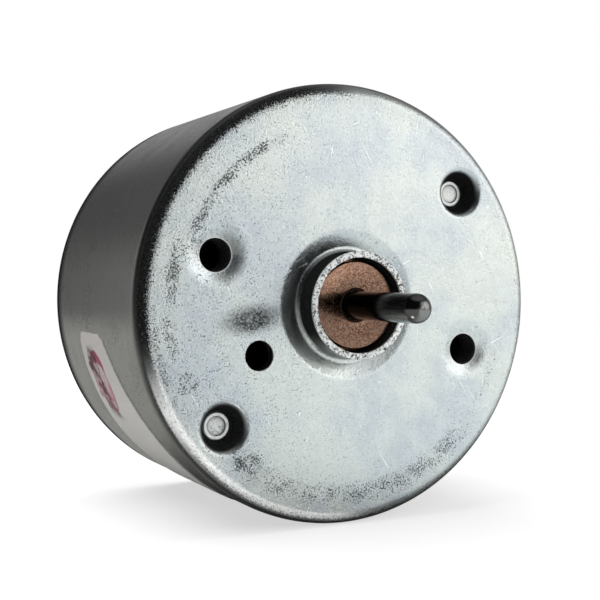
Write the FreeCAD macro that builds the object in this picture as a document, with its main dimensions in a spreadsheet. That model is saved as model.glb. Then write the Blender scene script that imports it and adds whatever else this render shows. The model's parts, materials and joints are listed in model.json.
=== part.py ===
"""Small round brushed DC motor: a drawn steel can with a rear cover, a ring magnet and a three-pole rotor.

Frame, in millimetres: the shaft axis is Y and the shaft points to -Y. The origin is the middle of the
flat front face. The motor lies on its side, so +Z is up and +X is to the right of someone facing
the shaft. Angles round the axis are counted from +X towards +Z.
"""

import FreeCAD, Part
import math
import os
import Sketcher

SIZES = {
    # how far cutters run past the faces that they cut, and how far joined pieces overlap
    "cutter_margin": 1.0,
    "join_overlap": 0.1,
    # drawn can
    "can_radius": 16.0,
    "can_length": 21.1,
    "can_wall": 0.8,
    "can_corner": 1.0,
    "inner_corner": 0.3,
    "recess_radius": 5.38,
    "recess_depth": 0.3,
    "recess_slope": 0.18,
    "collar_radius": 3.85,
    "collar_bore": 3.4,
    "collar_height": 1.9,
    "collar_fillet": 0.28,
    "rim_rounding": 0.06,
    "lip_depth": 0.6,
    "lip_reach": 0.9,
    "lip_angle": 11.0,
    "notch_width": 2.4,
    "notch_depth": 1.2,
    # holes and dimples in the front face
    "screw_circle": 10.8,
    "screw_angle": 160.9,
    "screw_radius": 1.08,
    "screw_collar": 1.62,
    "screw_depth": 2.2,
    "screw_dish_radius": 2.0,
    "screw_dish_depth": 0.33,
    "screw_dish_rounding": 1.0,
    "locating_circle": 7.85,
    "locating_angle": 206.2,
    "locating_radius": 1.05,
    "dimple_circle": 12.83,
    "dimple_angle": 220.8,
    "dimple_mouth": 1.62,
    "dimple_floor": 1.2,
    "dimple_depth": 1.5,
    "dimple_rounding": 0.5,
    "dimple_ring_outer": 0.97,
    "dimple_ring_inner": 0.66,
    "dimple_ring_height": 0.12,
    # shaft and bearings
    "shaft_radius": 1.0,
    "shaft_front": 10.1,
    "shaft_rear": 21.2,
    "shaft_rounding": 0.8,
    "shaft_rear_rounding": 0.5,
    "oil_groove_front": 1.2,
    "oil_groove_back": 0.6,
    "oil_groove_radius": 0.82,
    "bearing_bore": 1.02,
    "bearing_chamfer": 0.24,
    "nose_radius": 3.12,
    "nose_front": 1.15,
    "nose_back": 0.4,
    "front_bearing_end": 2.6,
    "rear_bearing_radius": 2.9,
    "rear_bearing_start": 18.05,
    "rear_bearing_end": 20.95,
    "thrust_plate_radius": 2.85,
    "thrust_plate_start": 21.25,
    "thrust_plate_end": 21.65,
    # magnet
    "magnet_radius": 15.15,
    "magnet_bore": 12.3,
    "magnet_start": 2.35,
    "magnet_end": 14.35,
    "magnet_gap": 6.0,
    # rear cover
    "cover_radius": 15.15,
    "cover_start": 18.6,
    "cover_end": 20.5,
    "skirt_bore": 13.5,
    "skirt_start": 14.5,
    "hub_radius": 4.0,
    "hub_start": 17.9,
    "boss_radius": 4.4,
    "boss_end": 22.3,
    "boss_rounding": 0.4,
    "rib_inner": 6.4,
    "rib_outer": 7.0,
    "rib_height": 0.3,
    "lug_reach": 15.9,
    "lug_start": 19.95,
    "post_thickness": 1.5,
    "post_width": 3.2,
    "post_start": 15.1,
    "lug_clearance": 0.1,
    "plus_offset": 3.2,
    "plus_drop": 1.6,
    "plus_length": 1.8,
    "plus_width": 0.45,
    "plus_height": 0.2,
    # terminals and brushes
    "terminal_offset": 5.4,
    "terminal_thickness": 0.4,
    "terminal_width": 2.2,
    "terminal_height": 9.7,
    "terminal_start": 15.2,
    "terminal_end": 24.2,
    "terminal_hole": 0.55,
    "terminal_hole_station": 23.2,
    "terminal_chamfer": 0.5,
    "brush_thickness": 0.12,
    "brush_start": 15.7,
    "brush_width": 1.4,
    "brush_slit": 0.14,
    "brush_slit_bottom": 3.0,
    "brush_gap": 0.03,
    "brush_foot_above": 0.9,
    "brush_foot_below": 1.6,
    "brush_bend_offset": 0.1,
    "brush_bend_height": 1.3,
    "brush_contact_half": 0.4,
    "brush_tip_offset": 0.45,
    "brush_tip_drop": 2.2,
    "damper_share": 0.62,
    "damper_gap": 0.01,
    "damper_length": 1.5,
    "damper_thickness": 0.7,
    # rotor
    "lamination_count": 10,
    "lamination_pitch": 0.5,
    "lamination_thickness": 0.47,
    "stack_start": 6.6,
    "stack_end": 11.6,
    "pole_radius": 11.8,
    "shoe_inner": 10.6,
    "shoe_angle": 100.0,
    "stack_hub": 3.2,
    "neck_width": 2.6,
    "cap_thickness": 0.8,
    "cap_pole_radius": 11.3,
    "cap_shoe_inner": 10.5,
    "cap_shoe_angle": 88.0,
    "cap_neck_width": 3.0,
    "winding_inner": 4.3,
    "winding_outer": 9.2,
    "winding_inner_half": 2.9,
    "winding_outer_half": 4.6,
    "winding_end_build": 1.5,
    "winding_clearance": 0.04,
    "winding_rounding": 0.9,
    "barrel_flange": 3.9,
    "barrel_flange_end": 14.15,
    "barrel_radius": 1.95,
    "barrel_end": 17.65,
    "varistor_bore": 2.9,
    "varistor_radius": 5.6,
    "varistor_start": 14.2,
    "varistor_end": 14.9,
    "riser_radius": 3.5,
    "riser_end": 15.15,
    "segment_radius": 2.4,
    "segment_end": 17.3,
    "segment_angle": 108.0,
    "tang_overlap": 0.3,
    "tang_radius": 5.1,
    "tang_width": 1.3,
    "solder_radius": 0.4,
    "solder_circle": 4.5,
    "ring_bore": 2.0,
    "ring_radius": 2.6,
    "washer_radius": 1.9,
    "washer_start": 17.72,
    "washer_end": 17.98,
    "front_washer_start": 2.7,
    "front_washer_end": 3.0,
    "front_washer_radius": 2.2,
    "sleeve_radius": 1.8,
    # inspection label
    "label_thickness": 0.08,
    "label_front": 4.6,
    "label_rear": 14.3,
    "label_start_angle": 188.0,
    "label_sweep": 62.0,
}

POLES = (90, 210, 330)          # directions of the rotor's poles at rest
SEGMENT_STARTS = (36, 156, 276)  # where each commutator segment begins
LIPS = (20, 110, 200, 290)      # middles of the can's staked lips
LUGS = (60, 300)                # directions of the rear cover's lugs
SHAFT_AXIS = FreeCAD.Vector(0, 1, 0)
TOLERANCE = 1e-4

doc = FreeCAD.newDocument("motor")
sheet = doc.addObject("Spreadsheet::Sheet", "Sizes")
for row, (alias, number) in enumerate(SIZES.items(), start=1):
    sheet.set(f"A{row}", alias)
    sheet.set(f"B{row}", str(number))
    sheet.setAlias(f"B{row}", alias)
doc.recompute()


def size(alias):
    """The number in one named cell of the sheet."""
    return float(sheet.get(alias))


def bound(text):
    """An expression in which every size name points at its cell."""
    words = []
    for word in text.split(" "):
        name = word.strip("()")
        words.append(word.replace(name, "Sizes." + name) if name in SIZES else word)
    return " ".join(words)


def bind(feature, **expressions):
    """Binds properties to the sheet: bind(rod, Radius="shaft_radius")."""
    for path, text in expressions.items():
        feature.setExpression(path.replace("_", "."), bound(text))


def origin_plane(body, role):
    """One of the body's own origin planes."""
    return [f for f in body.Origin.OriginFeatures if f.Role == role][0]


def sketch_on(body, name, role):
    sketch = body.newObject("Sketcher::SketchObject", name)
    sketch.AttachmentSupport = (origin_plane(body, role), [""])
    sketch.MapMode = "FlatFace"
    return sketch


def draw_outline(sketch, corners):
    """A closed outline of straight lines whose corners are (across, along) expressions.

    Both are measured from the sketch's origin. The corners start spread round a circle, and the bound
    distances pull each one to its place.
    """
    count = len(corners)
    spread = Part.Circle(FreeCAD.Vector(20, 0, 0), FreeCAD.Vector(0, 0, 1), 10)
    start_points = [spread.value(2 * math.pi * i / count) for i in range(count)]
    for i in range(count):
        sketch.addGeometry(Part.LineSegment(start_points[i], start_points[(i + 1) % count]))
    for i in range(count):
        sketch.addConstraint(Sketcher.Constraint("Coincident", i, 2, (i + 1) % count, 1))
    for i, (across, along) in enumerate(corners):
        start = start_points[i]
        for kind, text, distance in (("DistanceX", across, start.x), ("DistanceY", along, start.y)):
            place = sketch.addConstraint(Sketcher.Constraint(kind, -1, 1, i, 1, distance))
            sketch.setExpression(f"Constraints[{place}]", bound(text))


def turned(name, corners, angle=None):
    """A body turned about the shaft axis. Each corner is (radius, station along the shaft)."""
    body = doc.addObject("PartDesign::Body", name)
    body.Label = name
    profile = sketch_on(body, name + "_profile", "XY_Plane")
    draw_outline(profile, corners)
    turn = body.newObject("PartDesign::Revolution", name + "_turn")
    turn.Profile = (profile, [""])
    turn.ReferenceAxis = (profile, ["V_Axis"])
    if angle:
        bind(turn, Angle=angle)
    doc.recompute()
    return body


def rings(shape, wanted):
    """Names of the circular edges at each wanted (radius, station, x and z of the centre)."""
    names = []
    for index, edge in enumerate(shape.Edges, start=1):
        if not isinstance(edge.Curve, Part.Circle):
            continue
        middle = edge.Curve.Center
        for radius, station, x, z in wanted:
            near = abs(edge.Curve.Radius - radius) < TOLERANCE and abs(middle.y - station) < TOLERANCE
            if near and abs(middle.x - x) < TOLERANCE and abs(middle.z - z) < TOLERANCE:
                names.append(f"Edge{index}")
    if not names:
        raise RuntimeError(f"no circular edge at {wanted}")
    return names


def rounded(body, radius, *wanted):
    """Rounds the edges of a turned body that lie at (radius, station) round the shaft."""
    base = body.Tip
    fillet = body.newObject("PartDesign::Fillet", body.Name + "_round")
    fillet.Base = (base, rings(base.Shape, [(r, y, 0, 0) for r, y in wanted]))
    bind(fillet, Radius=radius)
    doc.recompute()


def chamfered(body, width, *wanted):
    """Chamfers the edges of a turned body that lie at (radius, station) round the shaft."""
    base = body.Tip
    chamfer = body.newObject("PartDesign::Chamfer", body.Name + "_chamfer")
    chamfer.Base = (base, rings(base.Shape, [(r, y, 0, 0) for r, y in wanted]))
    bind(chamfer, Size=width)
    doc.recompute()


def along_shaft(piece, start, circle="0", angle="0"):
    """Stands a primitive on the shaft direction at a station, off the axis by a circle and an angle."""
    piece.Placement = FreeCAD.Placement(FreeCAD.Vector(), FreeCAD.Rotation(FreeCAD.Vector(1, 0, 0), -90))
    bind(piece, **{
        "Placement_Base_x": f"{circle} * cos( {angle} )",
        "Placement_Base_y": start,
        "Placement_Base_z": f"{circle} * sin( {angle} )",
    })
    return piece


def rod(name, radius, start, end, circle="0", angle="0"):
    """A cylinder parallel to the shaft between two stations."""
    piece = doc.addObject("Part::Cylinder", name)
    bind(piece, Radius=radius, Height=f"( {end} ) - ( {start} )")
    return along_shaft(piece, start, circle, angle)


def cone(name, front_radius, rear_radius, start, end, circle, angle):
    """A cone frustum parallel to the shaft between two stations."""
    piece = doc.addObject("Part::Cone", name)
    bind(piece, Radius1=front_radius, Radius2=rear_radius, Height=f"( {end} ) - ( {start} )")
    return along_shaft(piece, start, circle, angle)


def bind_box(box, x, y, z):
    """Sets a box between two expressions on each axis: x, y and z are (low, high)."""
    length, width, height = (f"( {high} ) - ( {low} )" for low, high in (x, y, z))
    bind(box, Length=length, Width=width, Height=height)
    bind(box, Placement_Base_x=x[0], Placement_Base_y=y[0], Placement_Base_z=z[0])


def block(name, x, y, z):
    """A box between two expressions on each axis."""
    piece = doc.addObject("Part::Box", name)
    bind_box(piece, x, y, z)
    return piece


def turned_block(name, x, y, z, direction):
    """A body with one box in it, turned about the shaft axis so that its +X points in a direction."""
    body = doc.addObject("PartDesign::Body", name)
    box = body.newObject("PartDesign::AdditiveBox", name + "_box")
    bind_box(box, x, y, z)
    body.Placement = FreeCAD.Placement(FreeCAD.Vector(), facing(direction))
    return body


def facing(direction):
    """The turn about the shaft that takes +X to a direction counted from +X towards +Z."""
    return FreeCAD.Rotation(SHAFT_AXIS, -direction)


def joined(name, pieces):
    result = doc.addObject("Part::MultiFuse", name)
    result.Shapes = pieces
    return result


def without(name, base, tools):
    """A base with every tool cut from it."""
    result = doc.addObject("Part::Cut", name)
    result.Base = base
    result.Tool = tools[0] if len(tools) == 1 else joined(name + "_cutters", tools)
    return result


def rounded_mouths(name, base, radius, wanted):
    """A Part fillet on circular edges at (radius, station, x, z)."""
    doc.recompute()
    fillet = doc.addObject("Part::Fillet", name)
    fillet.Base = base
    numbers = [int(edge[len("Edge"):]) for edge in rings(base.Shape, wanted)]
    fillet.Edges = [(number, size(radius), size(radius)) for number in numbers]
    return fillet


def around(circle, angle):
    """x and z of a point at a named circle radius and an angle in degrees."""
    return size(circle) * math.cos(math.radians(angle)), size(circle) * math.sin(math.radians(angle))


def both_sides(alias):
    """An angle and the angle opposite to it, as expressions and as numbers."""
    return ((alias, size(alias)), (f"{alias} + 180", size(alias) + 180))


def make_can():
    """Drawn steel can: face, recess, bearing collar, screw holes, dimples, locating hole and staked lips."""
    shell = turned("can_shell", [
        ("collar_bore", "0 - collar_height"),
        ("collar_radius", "0 - collar_height"),
        ("collar_radius", "recess_depth"),
        ("recess_radius - recess_slope", "recess_depth"),
        ("recess_radius", "0"),
        ("can_radius", "0"),
        ("can_radius", "can_length"),
        ("can_radius - can_wall", "can_length"),
        ("can_radius - can_wall", "can_wall"),
        ("recess_radius + can_wall", "can_wall"),
        ("recess_radius + can_wall - recess_slope", "can_wall + recess_depth"),
        ("collar_bore", "can_wall + recess_depth"),
    ])
    rounded(shell, "can_corner", (size("can_radius"), 0))
    rounded(shell, "collar_fillet", (size("collar_radius"), size("recess_depth")))
    rounded(shell, "inner_corner", (size("can_radius") - size("can_wall"), size("can_wall")))
    rim = -size("collar_height")
    rounded(shell, "rim_rounding", (size("collar_radius"), rim), (size("collar_bore"), rim))

    added, removed, mouths = [shell], [], []
    for side, (angle, degrees) in enumerate(both_sides("screw_angle"), start=1):
        added.append(rod(f"screw_collar_{side}", "screw_collar", "can_wall / 2", "screw_depth",
                         "screw_circle", angle))
        removed.append(rod(f"screw_hole_{side}", "screw_radius", "0 - cutter_margin",
                           "screw_depth + cutter_margin", "screw_circle", angle))
        removed.append(cone(f"screw_dish_{side}", "screw_dish_radius", "screw_radius", "0",
                            "screw_dish_depth", "screw_circle", angle))
        mouths.append((size("screw_dish_radius"), 0, *around("screw_circle", degrees)))
    bosses, pockets = [], []
    for side, (angle, degrees) in enumerate(both_sides("dimple_angle"), start=1):
        bosses.append(rod(f"dimple_boss_{side}", "dimple_mouth + can_wall / 2", "can_wall / 2",
                          "dimple_depth + can_wall", "dimple_circle", angle))
        pockets.append(cone(f"dimple_pocket_{side}", "dimple_mouth", "dimple_floor", "0", "dimple_depth",
                            "dimple_circle", angle))
    hole = rod("locating_hole_cutter", "locating_radius", "0 - cutter_margin", "can_wall + cutter_margin",
               "locating_circle", "locating_angle")
    for number, middle in enumerate(LUGS, start=1):
        removed.append(turned_block(
            f"lug_notch_{number}", ("cover_radius", "can_radius + cutter_margin"),
            ("can_length - notch_depth", "can_length + cutter_margin"),
            ("0 - notch_width / 2", "notch_width / 2"), middle))

    drilled = without("can_drilled", joined("can_with_collars", added + bosses), removed + pockets + [hole])
    screw_mouths = rounded_mouths("can_screw_mouths", drilled, "screw_dish_rounding", mouths)
    dimple_mouths = [(size("dimple_mouth"), 0, *around("dimple_circle", degrees))
                     for _, degrees in both_sides("dimple_angle")]
    eased = rounded_mouths("can_eased", screw_mouths, "dimple_rounding", dimple_mouths)

    details = [eased]
    floor = "dimple_depth - dimple_ring_height"
    for side, (angle, _) in enumerate(both_sides("dimple_angle"), start=1):
        ring = rod(f"dimple_ring_{side}", "dimple_ring_outer", floor, "dimple_depth + join_overlap",
                   "dimple_circle", angle)
        eye = rod(f"dimple_eye_{side}", "dimple_ring_inner", floor + " - cutter_margin",
                  "dimple_depth + cutter_margin", "dimple_circle", angle)
        details.append(without(f"dimple_ridge_{side}", ring, [eye]))
    for number, middle in enumerate(LIPS, start=1):
        lip = turned(f"lip_{number}", [
            ("can_radius - can_wall - lip_reach", "can_length - lip_depth"),
            ("can_radius - can_wall / 2", "can_length - lip_depth"),
            ("can_radius - can_wall / 2", "can_length"),
            ("can_radius - can_wall - lip_reach", "can_length"),
        ], angle="lip_angle")
        lip.Placement = FreeCAD.Placement(FreeCAD.Vector(), facing(middle + size("lip_angle") / 2))
        details.append(lip)
    can = joined("motor_can", details)
    can.Refine = True
    return can


def make_bearings():
    """Sintered bronze bushes. The front one's reduced nose leaves a narrow gap inside the collar."""
    front = turned("front_bearing", [
        ("bearing_bore", "0 - nose_front"),
        ("nose_radius", "0 - nose_front"),
        ("nose_radius", "0 - nose_back"),
        ("collar_bore", "0 - nose_back"),
        ("collar_bore", "front_bearing_end"),
        ("bearing_bore", "front_bearing_end"),
    ])
    chamfered(front, "bearing_chamfer", (size("bearing_bore"), -size("nose_front")),
              (size("bearing_bore"), size("front_bearing_end")))
    rear = turned("rear_bearing", [
        ("bearing_bore", "rear_bearing_start"),
        ("rear_bearing_radius", "rear_bearing_start"),
        ("rear_bearing_radius", "rear_bearing_end"),
        ("bearing_bore", "rear_bearing_end"),
    ])
    chamfered(rear, "bearing_chamfer", (size("bearing_bore"), size("rear_bearing_start")),
              (size("bearing_bore"), size("rear_bearing_end")))
    plate = rod("thrust_plate", "thrust_plate_radius", "thrust_plate_start", "thrust_plate_end")
    return [front, rear, plate]


def make_magnet():
    """Rubber-bonded ferrite strip rolled into a ring, with its butt gap at the bottom."""
    ring = turned("magnet_ring", [
        ("magnet_bore", "magnet_start"),
        ("magnet_radius", "magnet_start"),
        ("magnet_radius", "magnet_end"),
        ("magnet_bore", "magnet_end"),
    ], angle="360 - magnet_gap")
    ring.Placement = FreeCAD.Placement(FreeCAD.Vector(), facing(270 - size("magnet_gap") / 2))
    return ring


def make_rear_cover():
    """Moulded rear cover: disc, skirt, bearing pocket, terminal posts, lugs and plus mark."""
    turned_part = turned("cover_turned", [
        ("0", "boss_end"),
        ("0", "thrust_plate_end"),
        ("rear_bearing_radius", "thrust_plate_end"),
        ("rear_bearing_radius", "hub_start"),
        ("hub_radius", "hub_start"),
        ("hub_radius", "cover_start"),
        ("skirt_bore", "cover_start"),
        ("skirt_bore", "skirt_start"),
        ("cover_radius", "skirt_start"),
        ("cover_radius", "cover_end"),
        ("rib_outer", "cover_end"),
        ("rib_outer", "cover_end + rib_height"),
        ("rib_inner", "cover_end + rib_height"),
        ("rib_inner", "cover_end"),
        ("boss_radius", "cover_end"),
        ("boss_radius", "boss_end"),
    ])
    rounded(turned_part, "boss_rounding", (size("boss_radius"), size("boss_end")))
    pieces, slots = [turned_part], []
    outer_face = "terminal_offset + terminal_thickness"
    tall = ("terminal_height - terminal_width / 2", "terminal_height + terminal_width / 2")
    post_tall = ("terminal_height - post_width / 2", "terminal_height + post_width / 2")
    for side, sign in (("right", 1), ("left", -1)):
        near, far = (outer_face, outer_face + " + post_thickness")
        inner = "terminal_offset"
        wide = (near, far) if sign > 0 else (f"0 - ( {far} )", f"0 - ( {near} )")
        slot = (inner, near) if sign > 0 else (f"0 - ( {near} )", f"0 - {inner}")
        pieces.append(block(f"post_{side}", wide, ("post_start", "cover_start + join_overlap"), post_tall))
        through = ("cover_start - cutter_margin", "cover_end + cutter_margin")
        slots.append(block(f"slot_{side}", slot, through, tall))
    for number, middle in enumerate(LUGS, start=1):
        pieces.append(turned_block(
            f"cover_lug_{number}", ("cover_radius - cutter_margin", "lug_reach"), ("lug_start", "cover_end"),
            ("0 - notch_width / 2 + lug_clearance", "notch_width / 2 - lug_clearance"), middle))
    middle_x, middle_z = "terminal_offset + plus_offset", "terminal_height - plus_drop"
    rear = ("cover_end - join_overlap", "cover_end + plus_height")
    pieces.append(block("plus_bar", (f"{middle_x} - plus_length / 2", f"{middle_x} + plus_length / 2"), rear,
                        (f"{middle_z} - plus_width / 2", f"{middle_z} + plus_width / 2")))
    pieces.append(block("plus_stem", (f"{middle_x} - plus_width / 2", f"{middle_x} + plus_width / 2"), rear,
                        (f"{middle_z} - plus_length / 2", f"{middle_z} + plus_length / 2")))
    cover = without("rear_cover", joined("cover_whole", pieces), slots)
    return cover


def make_terminal(name, sign):
    """Flat tab that carries a brush inside the cover and takes a wire outside it."""
    inner, outer = "terminal_offset", "terminal_offset + terminal_thickness"
    wide = (inner, outer) if sign > 0 else (f"0 - ( {outer} )", f"0 - {inner}")
    tab = block(name + "_tab", wide, ("terminal_start", "terminal_end"),
                ("terminal_height - terminal_width / 2", "terminal_height + terminal_width / 2"))
    eye = doc.addObject("Part::Cylinder", name + "_eye")
    eye.Placement = FreeCAD.Placement(FreeCAD.Vector(), FreeCAD.Rotation(FreeCAD.Vector(0, 1, 0), 90))
    bind(eye, Radius="terminal_hole", Height="terminal_offset * 4")
    bind(eye, Placement_Base_x="0 - terminal_offset * 2", Placement_Base_y="terminal_hole_station",
         Placement_Base_z="terminal_height")
    pierced = without(name + "_pierced", tab, [eye])
    doc.recompute()
    corners = []
    for index, edge in enumerate(pierced.Shape.Edges, start=1):
        ends = [v.Point for v in edge.Vertexes]
        at_tip = len(ends) == 2 and all(abs(p.y - size("terminal_end")) < TOLERANCE for p in ends)
        if at_tip and abs(ends[0].z - ends[1].z) < TOLERANCE:
            corners.append((index, size("terminal_chamfer"), size("terminal_chamfer")))
    terminal = doc.addObject("Part::Chamfer", name)
    terminal.Base = pierced
    terminal.Edges = corners
    return terminal


def brush_path(sign):
    """Middle line of a brush leaf across the shaft: foot on the terminal, bend, contact and tip."""
    half = size("brush_thickness") / 2
    contact = size("segment_radius") + size("brush_gap") + half
    foot = size("terminal_offset") - half
    height = size("terminal_height")
    points = [
        (foot, height + size("brush_foot_above")),
        (foot, height - size("brush_foot_below")),
        (contact + size("brush_bend_offset"), size("brush_bend_height")),
        (contact, size("brush_contact_half")),
        (contact, -size("brush_contact_half")),
        (contact + size("brush_tip_offset"), -size("brush_tip_drop")),
    ]
    return [(sign * x, z) for x, z in points]


def make_brush(name, sign):
    """Thin precious-metal leaf, slit into fingers where it bears on the commutator."""
    half = size("brush_thickness") / 2
    start = size("brush_start")
    width = size("brush_width")
    path = brush_path(sign)
    left, right = [], []
    for i, (x, z) in enumerate(path):
        before = path[max(i - 1, 0)]
        after = path[min(i + 1, len(path) - 1)]
        run = math.hypot(after[0] - before[0], after[1] - before[1])
        across = (-(after[1] - before[1]) / run * half, (after[0] - before[0]) / run * half)
        left.append(FreeCAD.Vector(x + across[0], start, z + across[1]))
        right.append(FreeCAD.Vector(x - across[0], start, z - across[1]))
    outline = left + right[::-1]
    leaf = Part.Face(Part.makePolygon(outline + outline[:1])).extrude(FreeCAD.Vector(0, width, 0))
    slit = size("brush_slit")
    bottom = size("brush_slit_bottom")
    for share in (1 / 3, 2 / 3):
        corner = FreeCAD.Vector(-size("terminal_offset") * 2, start + width * share - slit / 2, -bottom)
        tall = bottom + size("terminal_height") / 2
        leaf = leaf.cut(Part.makeBox(size("terminal_offset") * 4, slit, tall, corner))
    brush = doc.addObject("Part::Feature", name)
    brush.Shape = leaf
    return brush


def make_damper(name, sign):
    """Small rubber pad on the back of a brush leaf, which quietens it."""
    half = size("brush_thickness") / 2
    (x0, z0), (x1, z1) = brush_path(sign)[1:3]
    run = math.hypot(x1 - x0, z1 - z0)
    down = FreeCAD.Vector((x1 - x0) / run, 0, (z1 - z0) / run)
    out = FreeCAD.Vector(-down.z * sign, 0, down.x * sign)
    middle = FreeCAD.Vector(x0, size("brush_start"), z0) + down * (run * size("damper_share"))
    middle += out * (half + size("damper_gap"))
    length, thick = size("damper_length"), size("damper_thickness")
    corners = [middle - down * (length / 2), middle + down * (length / 2),
               middle + down * (length / 2) + out * thick, middle - down * (length / 2) + out * thick]
    pad = doc.addObject("Part::Feature", name)
    side = Part.Face(Part.makePolygon(corners + corners[:1]))
    pad.Shape = side.extrude(SHAFT_AXIS * size("brush_width"))
    return pad


def make_shaft():
    """Ground steel shaft with rounded ends and an oil-stop groove at the mouth of the front bearing."""
    shaft = turned("shaft", [
        ("0", "0 - shaft_front"),
        ("shaft_radius", "0 - shaft_front"),
        ("shaft_radius", "0 - oil_groove_front"),
        ("oil_groove_radius", "0 - oil_groove_front"),
        ("oil_groove_radius", "0 - oil_groove_back"),
        ("shaft_radius", "0 - oil_groove_back"),
        ("shaft_radius", "shaft_rear"),
        ("0", "shaft_rear"),
    ])
    rounded(shaft, "shaft_rounding", (size("shaft_radius"), -size("shaft_front")))
    rounded(shaft, "shaft_rear_rounding", (size("shaft_radius"), size("shaft_rear")))
    return shaft


def pole_plate(name, start, end, pole, shoe_inner, shoe_angle, neck):
    """A plate of the rotor's three-pole outline between two stations."""
    hub = rod(name + "_hub", "stack_hub", start, end)
    pieces = [hub]
    shoe_outline = [(shoe_inner, start), (pole, start), (pole, end), (shoe_inner, end)]
    for number, direction in enumerate(POLES, start=1):
        pieces.append(turned_block(f"{name}_neck_{number}", ("0", f"( {shoe_inner} + {pole} ) / 2"),
                                   (start, end), (f"0 - {neck} / 2", f"{neck} / 2"), direction))
        shoe = turned(f"{name}_shoe_{number}", shoe_outline, angle=shoe_angle)
        shoe.Placement = FreeCAD.Placement(FreeCAD.Vector(), facing(direction + size(shoe_angle) / 2))
        pieces.append(shoe)
    bore = rod(name + "_bore", "shaft_radius", f"{start} - cutter_margin", f"{end} + cutter_margin")
    plate = without(name, joined(name + "_outline", pieces), [bore])
    return plate


def make_stack():
    """Separate electrical-steel sheets with a hair of varnish between them."""
    sheet_plate = pole_plate("lamination", "stack_start", "stack_start + lamination_thickness", "pole_radius",
                             "shoe_inner", "shoe_angle", "neck_width")
    doc.recompute()
    sheets = []
    for number in range(int(size("lamination_count"))):
        copy = sheet_plate.Shape.copy()
        copy.translate(SHAFT_AXIS * (number * size("lamination_pitch")))
        sheets.append(copy)
    stack = doc.addObject("Part::Feature", "laminations")
    stack.Shape = Part.makeCompound(sheets)
    return stack


def make_winding(name, direction):
    """One coil round a pole neck: a rounded block that widens outwards, with the neck's window through it."""
    middle = (size("stack_start") + size("stack_end")) / 2
    half_stack = (size("stack_end") - size("stack_start")) / 2 + size("cap_thickness")
    window_half = size("cap_neck_width") / 2 + size("winding_clearance")
    window_long = half_stack + size("winding_clearance")
    long_half = half_stack + size("winding_end_build")

    def section(x, half):
        signs = ((-1, -1), (1, -1), (1, 1), (-1, 1))
        points = [FreeCAD.Vector(x, middle + a * long_half, b * half) for a, b in signs]
        return Part.makePolygon(points + points[:1])

    inner, outer = size("winding_inner"), size("winding_outer")
    ends = [section(inner, size("winding_inner_half")), section(outer, size("winding_outer_half"))]
    solid = Part.makeLoft(ends, True, True)
    long_edges = [e for e in solid.Edges if abs(e.Vertexes[0].X - e.Vertexes[-1].X) > TOLERANCE]
    solid = solid.makeFillet(size("winding_rounding"), long_edges)
    window = Part.makeBox(outer * 2, window_long * 2, window_half * 2,
                          FreeCAD.Vector(0, middle - window_long, -window_half))
    winding = doc.addObject("Part::Feature", name)
    winding.Shape = solid.cut(window)
    winding.Placement = FreeCAD.Placement(FreeCAD.Vector(), facing(direction))
    return winding


def make_commutator():
    """Moulded barrel, three copper segments with tangs, retaining ring, varistor disc and solder."""
    barrel = turned("commutator_barrel", [
        ("shaft_radius", "stack_end + cap_thickness"),
        ("barrel_flange", "stack_end + cap_thickness"),
        ("barrel_flange", "barrel_flange_end"),
        ("barrel_radius", "barrel_flange_end"),
        ("barrel_radius", "barrel_end"),
        ("shaft_radius", "barrel_end"),
    ])
    varistor = turned("ring_varistor", [
        ("varistor_bore", "varistor_start"),
        ("varistor_radius", "varistor_start"),
        ("varistor_radius", "varistor_end"),
        ("varistor_bore", "varistor_end"),
    ])
    ring = turned("commutator_ring", [
        ("ring_bore", "segment_end"),
        ("ring_radius", "segment_end"),
        ("ring_radius", "barrel_end"),
        ("ring_bore", "barrel_end"),
    ])
    made = [barrel, varistor, ring]
    for number, start in enumerate(SEGMENT_STARTS, start=1):
        sleeve = turned(f"segment_sleeve_{number}", [
            ("barrel_radius", "varistor_end"),
            ("riser_radius", "varistor_end"),
            ("riser_radius", "riser_end"),
            ("segment_radius", "riser_end"),
            ("segment_radius", "segment_end"),
            ("barrel_radius", "segment_end"),
        ], angle="segment_angle")
        sleeve.Placement = FreeCAD.Placement(FreeCAD.Vector(), facing(start + size("segment_angle")))
        tang = turned_block(f"segment_tang_{number}", ("riser_radius - tang_overlap", "tang_radius"),
                            ("varistor_end", "riser_end"), ("0 - tang_width / 2", "tang_width / 2"),
                            start + size("segment_angle") / 2)
        segment = joined(f"commutator_segment_{number}", [sleeve, tang])
        segment.Refine = True
        made.append(segment)
    drops = []
    for number, start in enumerate(SEGMENT_STARTS, start=1):
        drop = doc.addObject("Part::Sphere", f"solder_drop_{number}")
        bind(drop, Radius="solder_radius")
        drop.Angle1 = 0
        drops.append(along_shaft(drop, "riser_end", "solder_circle", f"{start} + segment_angle / 2"))
    solder = doc.addObject("Part::Compound", "solder_joints")
    solder.Links = drops
    made.append(solder)
    return made


def make_washers():
    """Thrust washers and the sleeve that sets the rotor's place along the shaft."""
    front = turned("front_washer", [
        ("shaft_radius", "front_washer_start"),
        ("front_washer_radius", "front_washer_start"),
        ("front_washer_radius", "front_washer_end"),
        ("shaft_radius", "front_washer_end"),
    ])
    sleeve = turned("spacer_sleeve", [
        ("shaft_radius", "front_washer_end"),
        ("sleeve_radius", "front_washer_end"),
        ("sleeve_radius", "stack_start - cap_thickness"),
        ("shaft_radius", "stack_start - cap_thickness"),
    ])
    rear = turned("rear_washer", [
        ("shaft_radius", "washer_start"),
        ("washer_radius", "washer_start"),
        ("washer_radius", "washer_end"),
        ("shaft_radius", "washer_end"),
    ])
    return [front, sleeve, rear]


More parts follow.
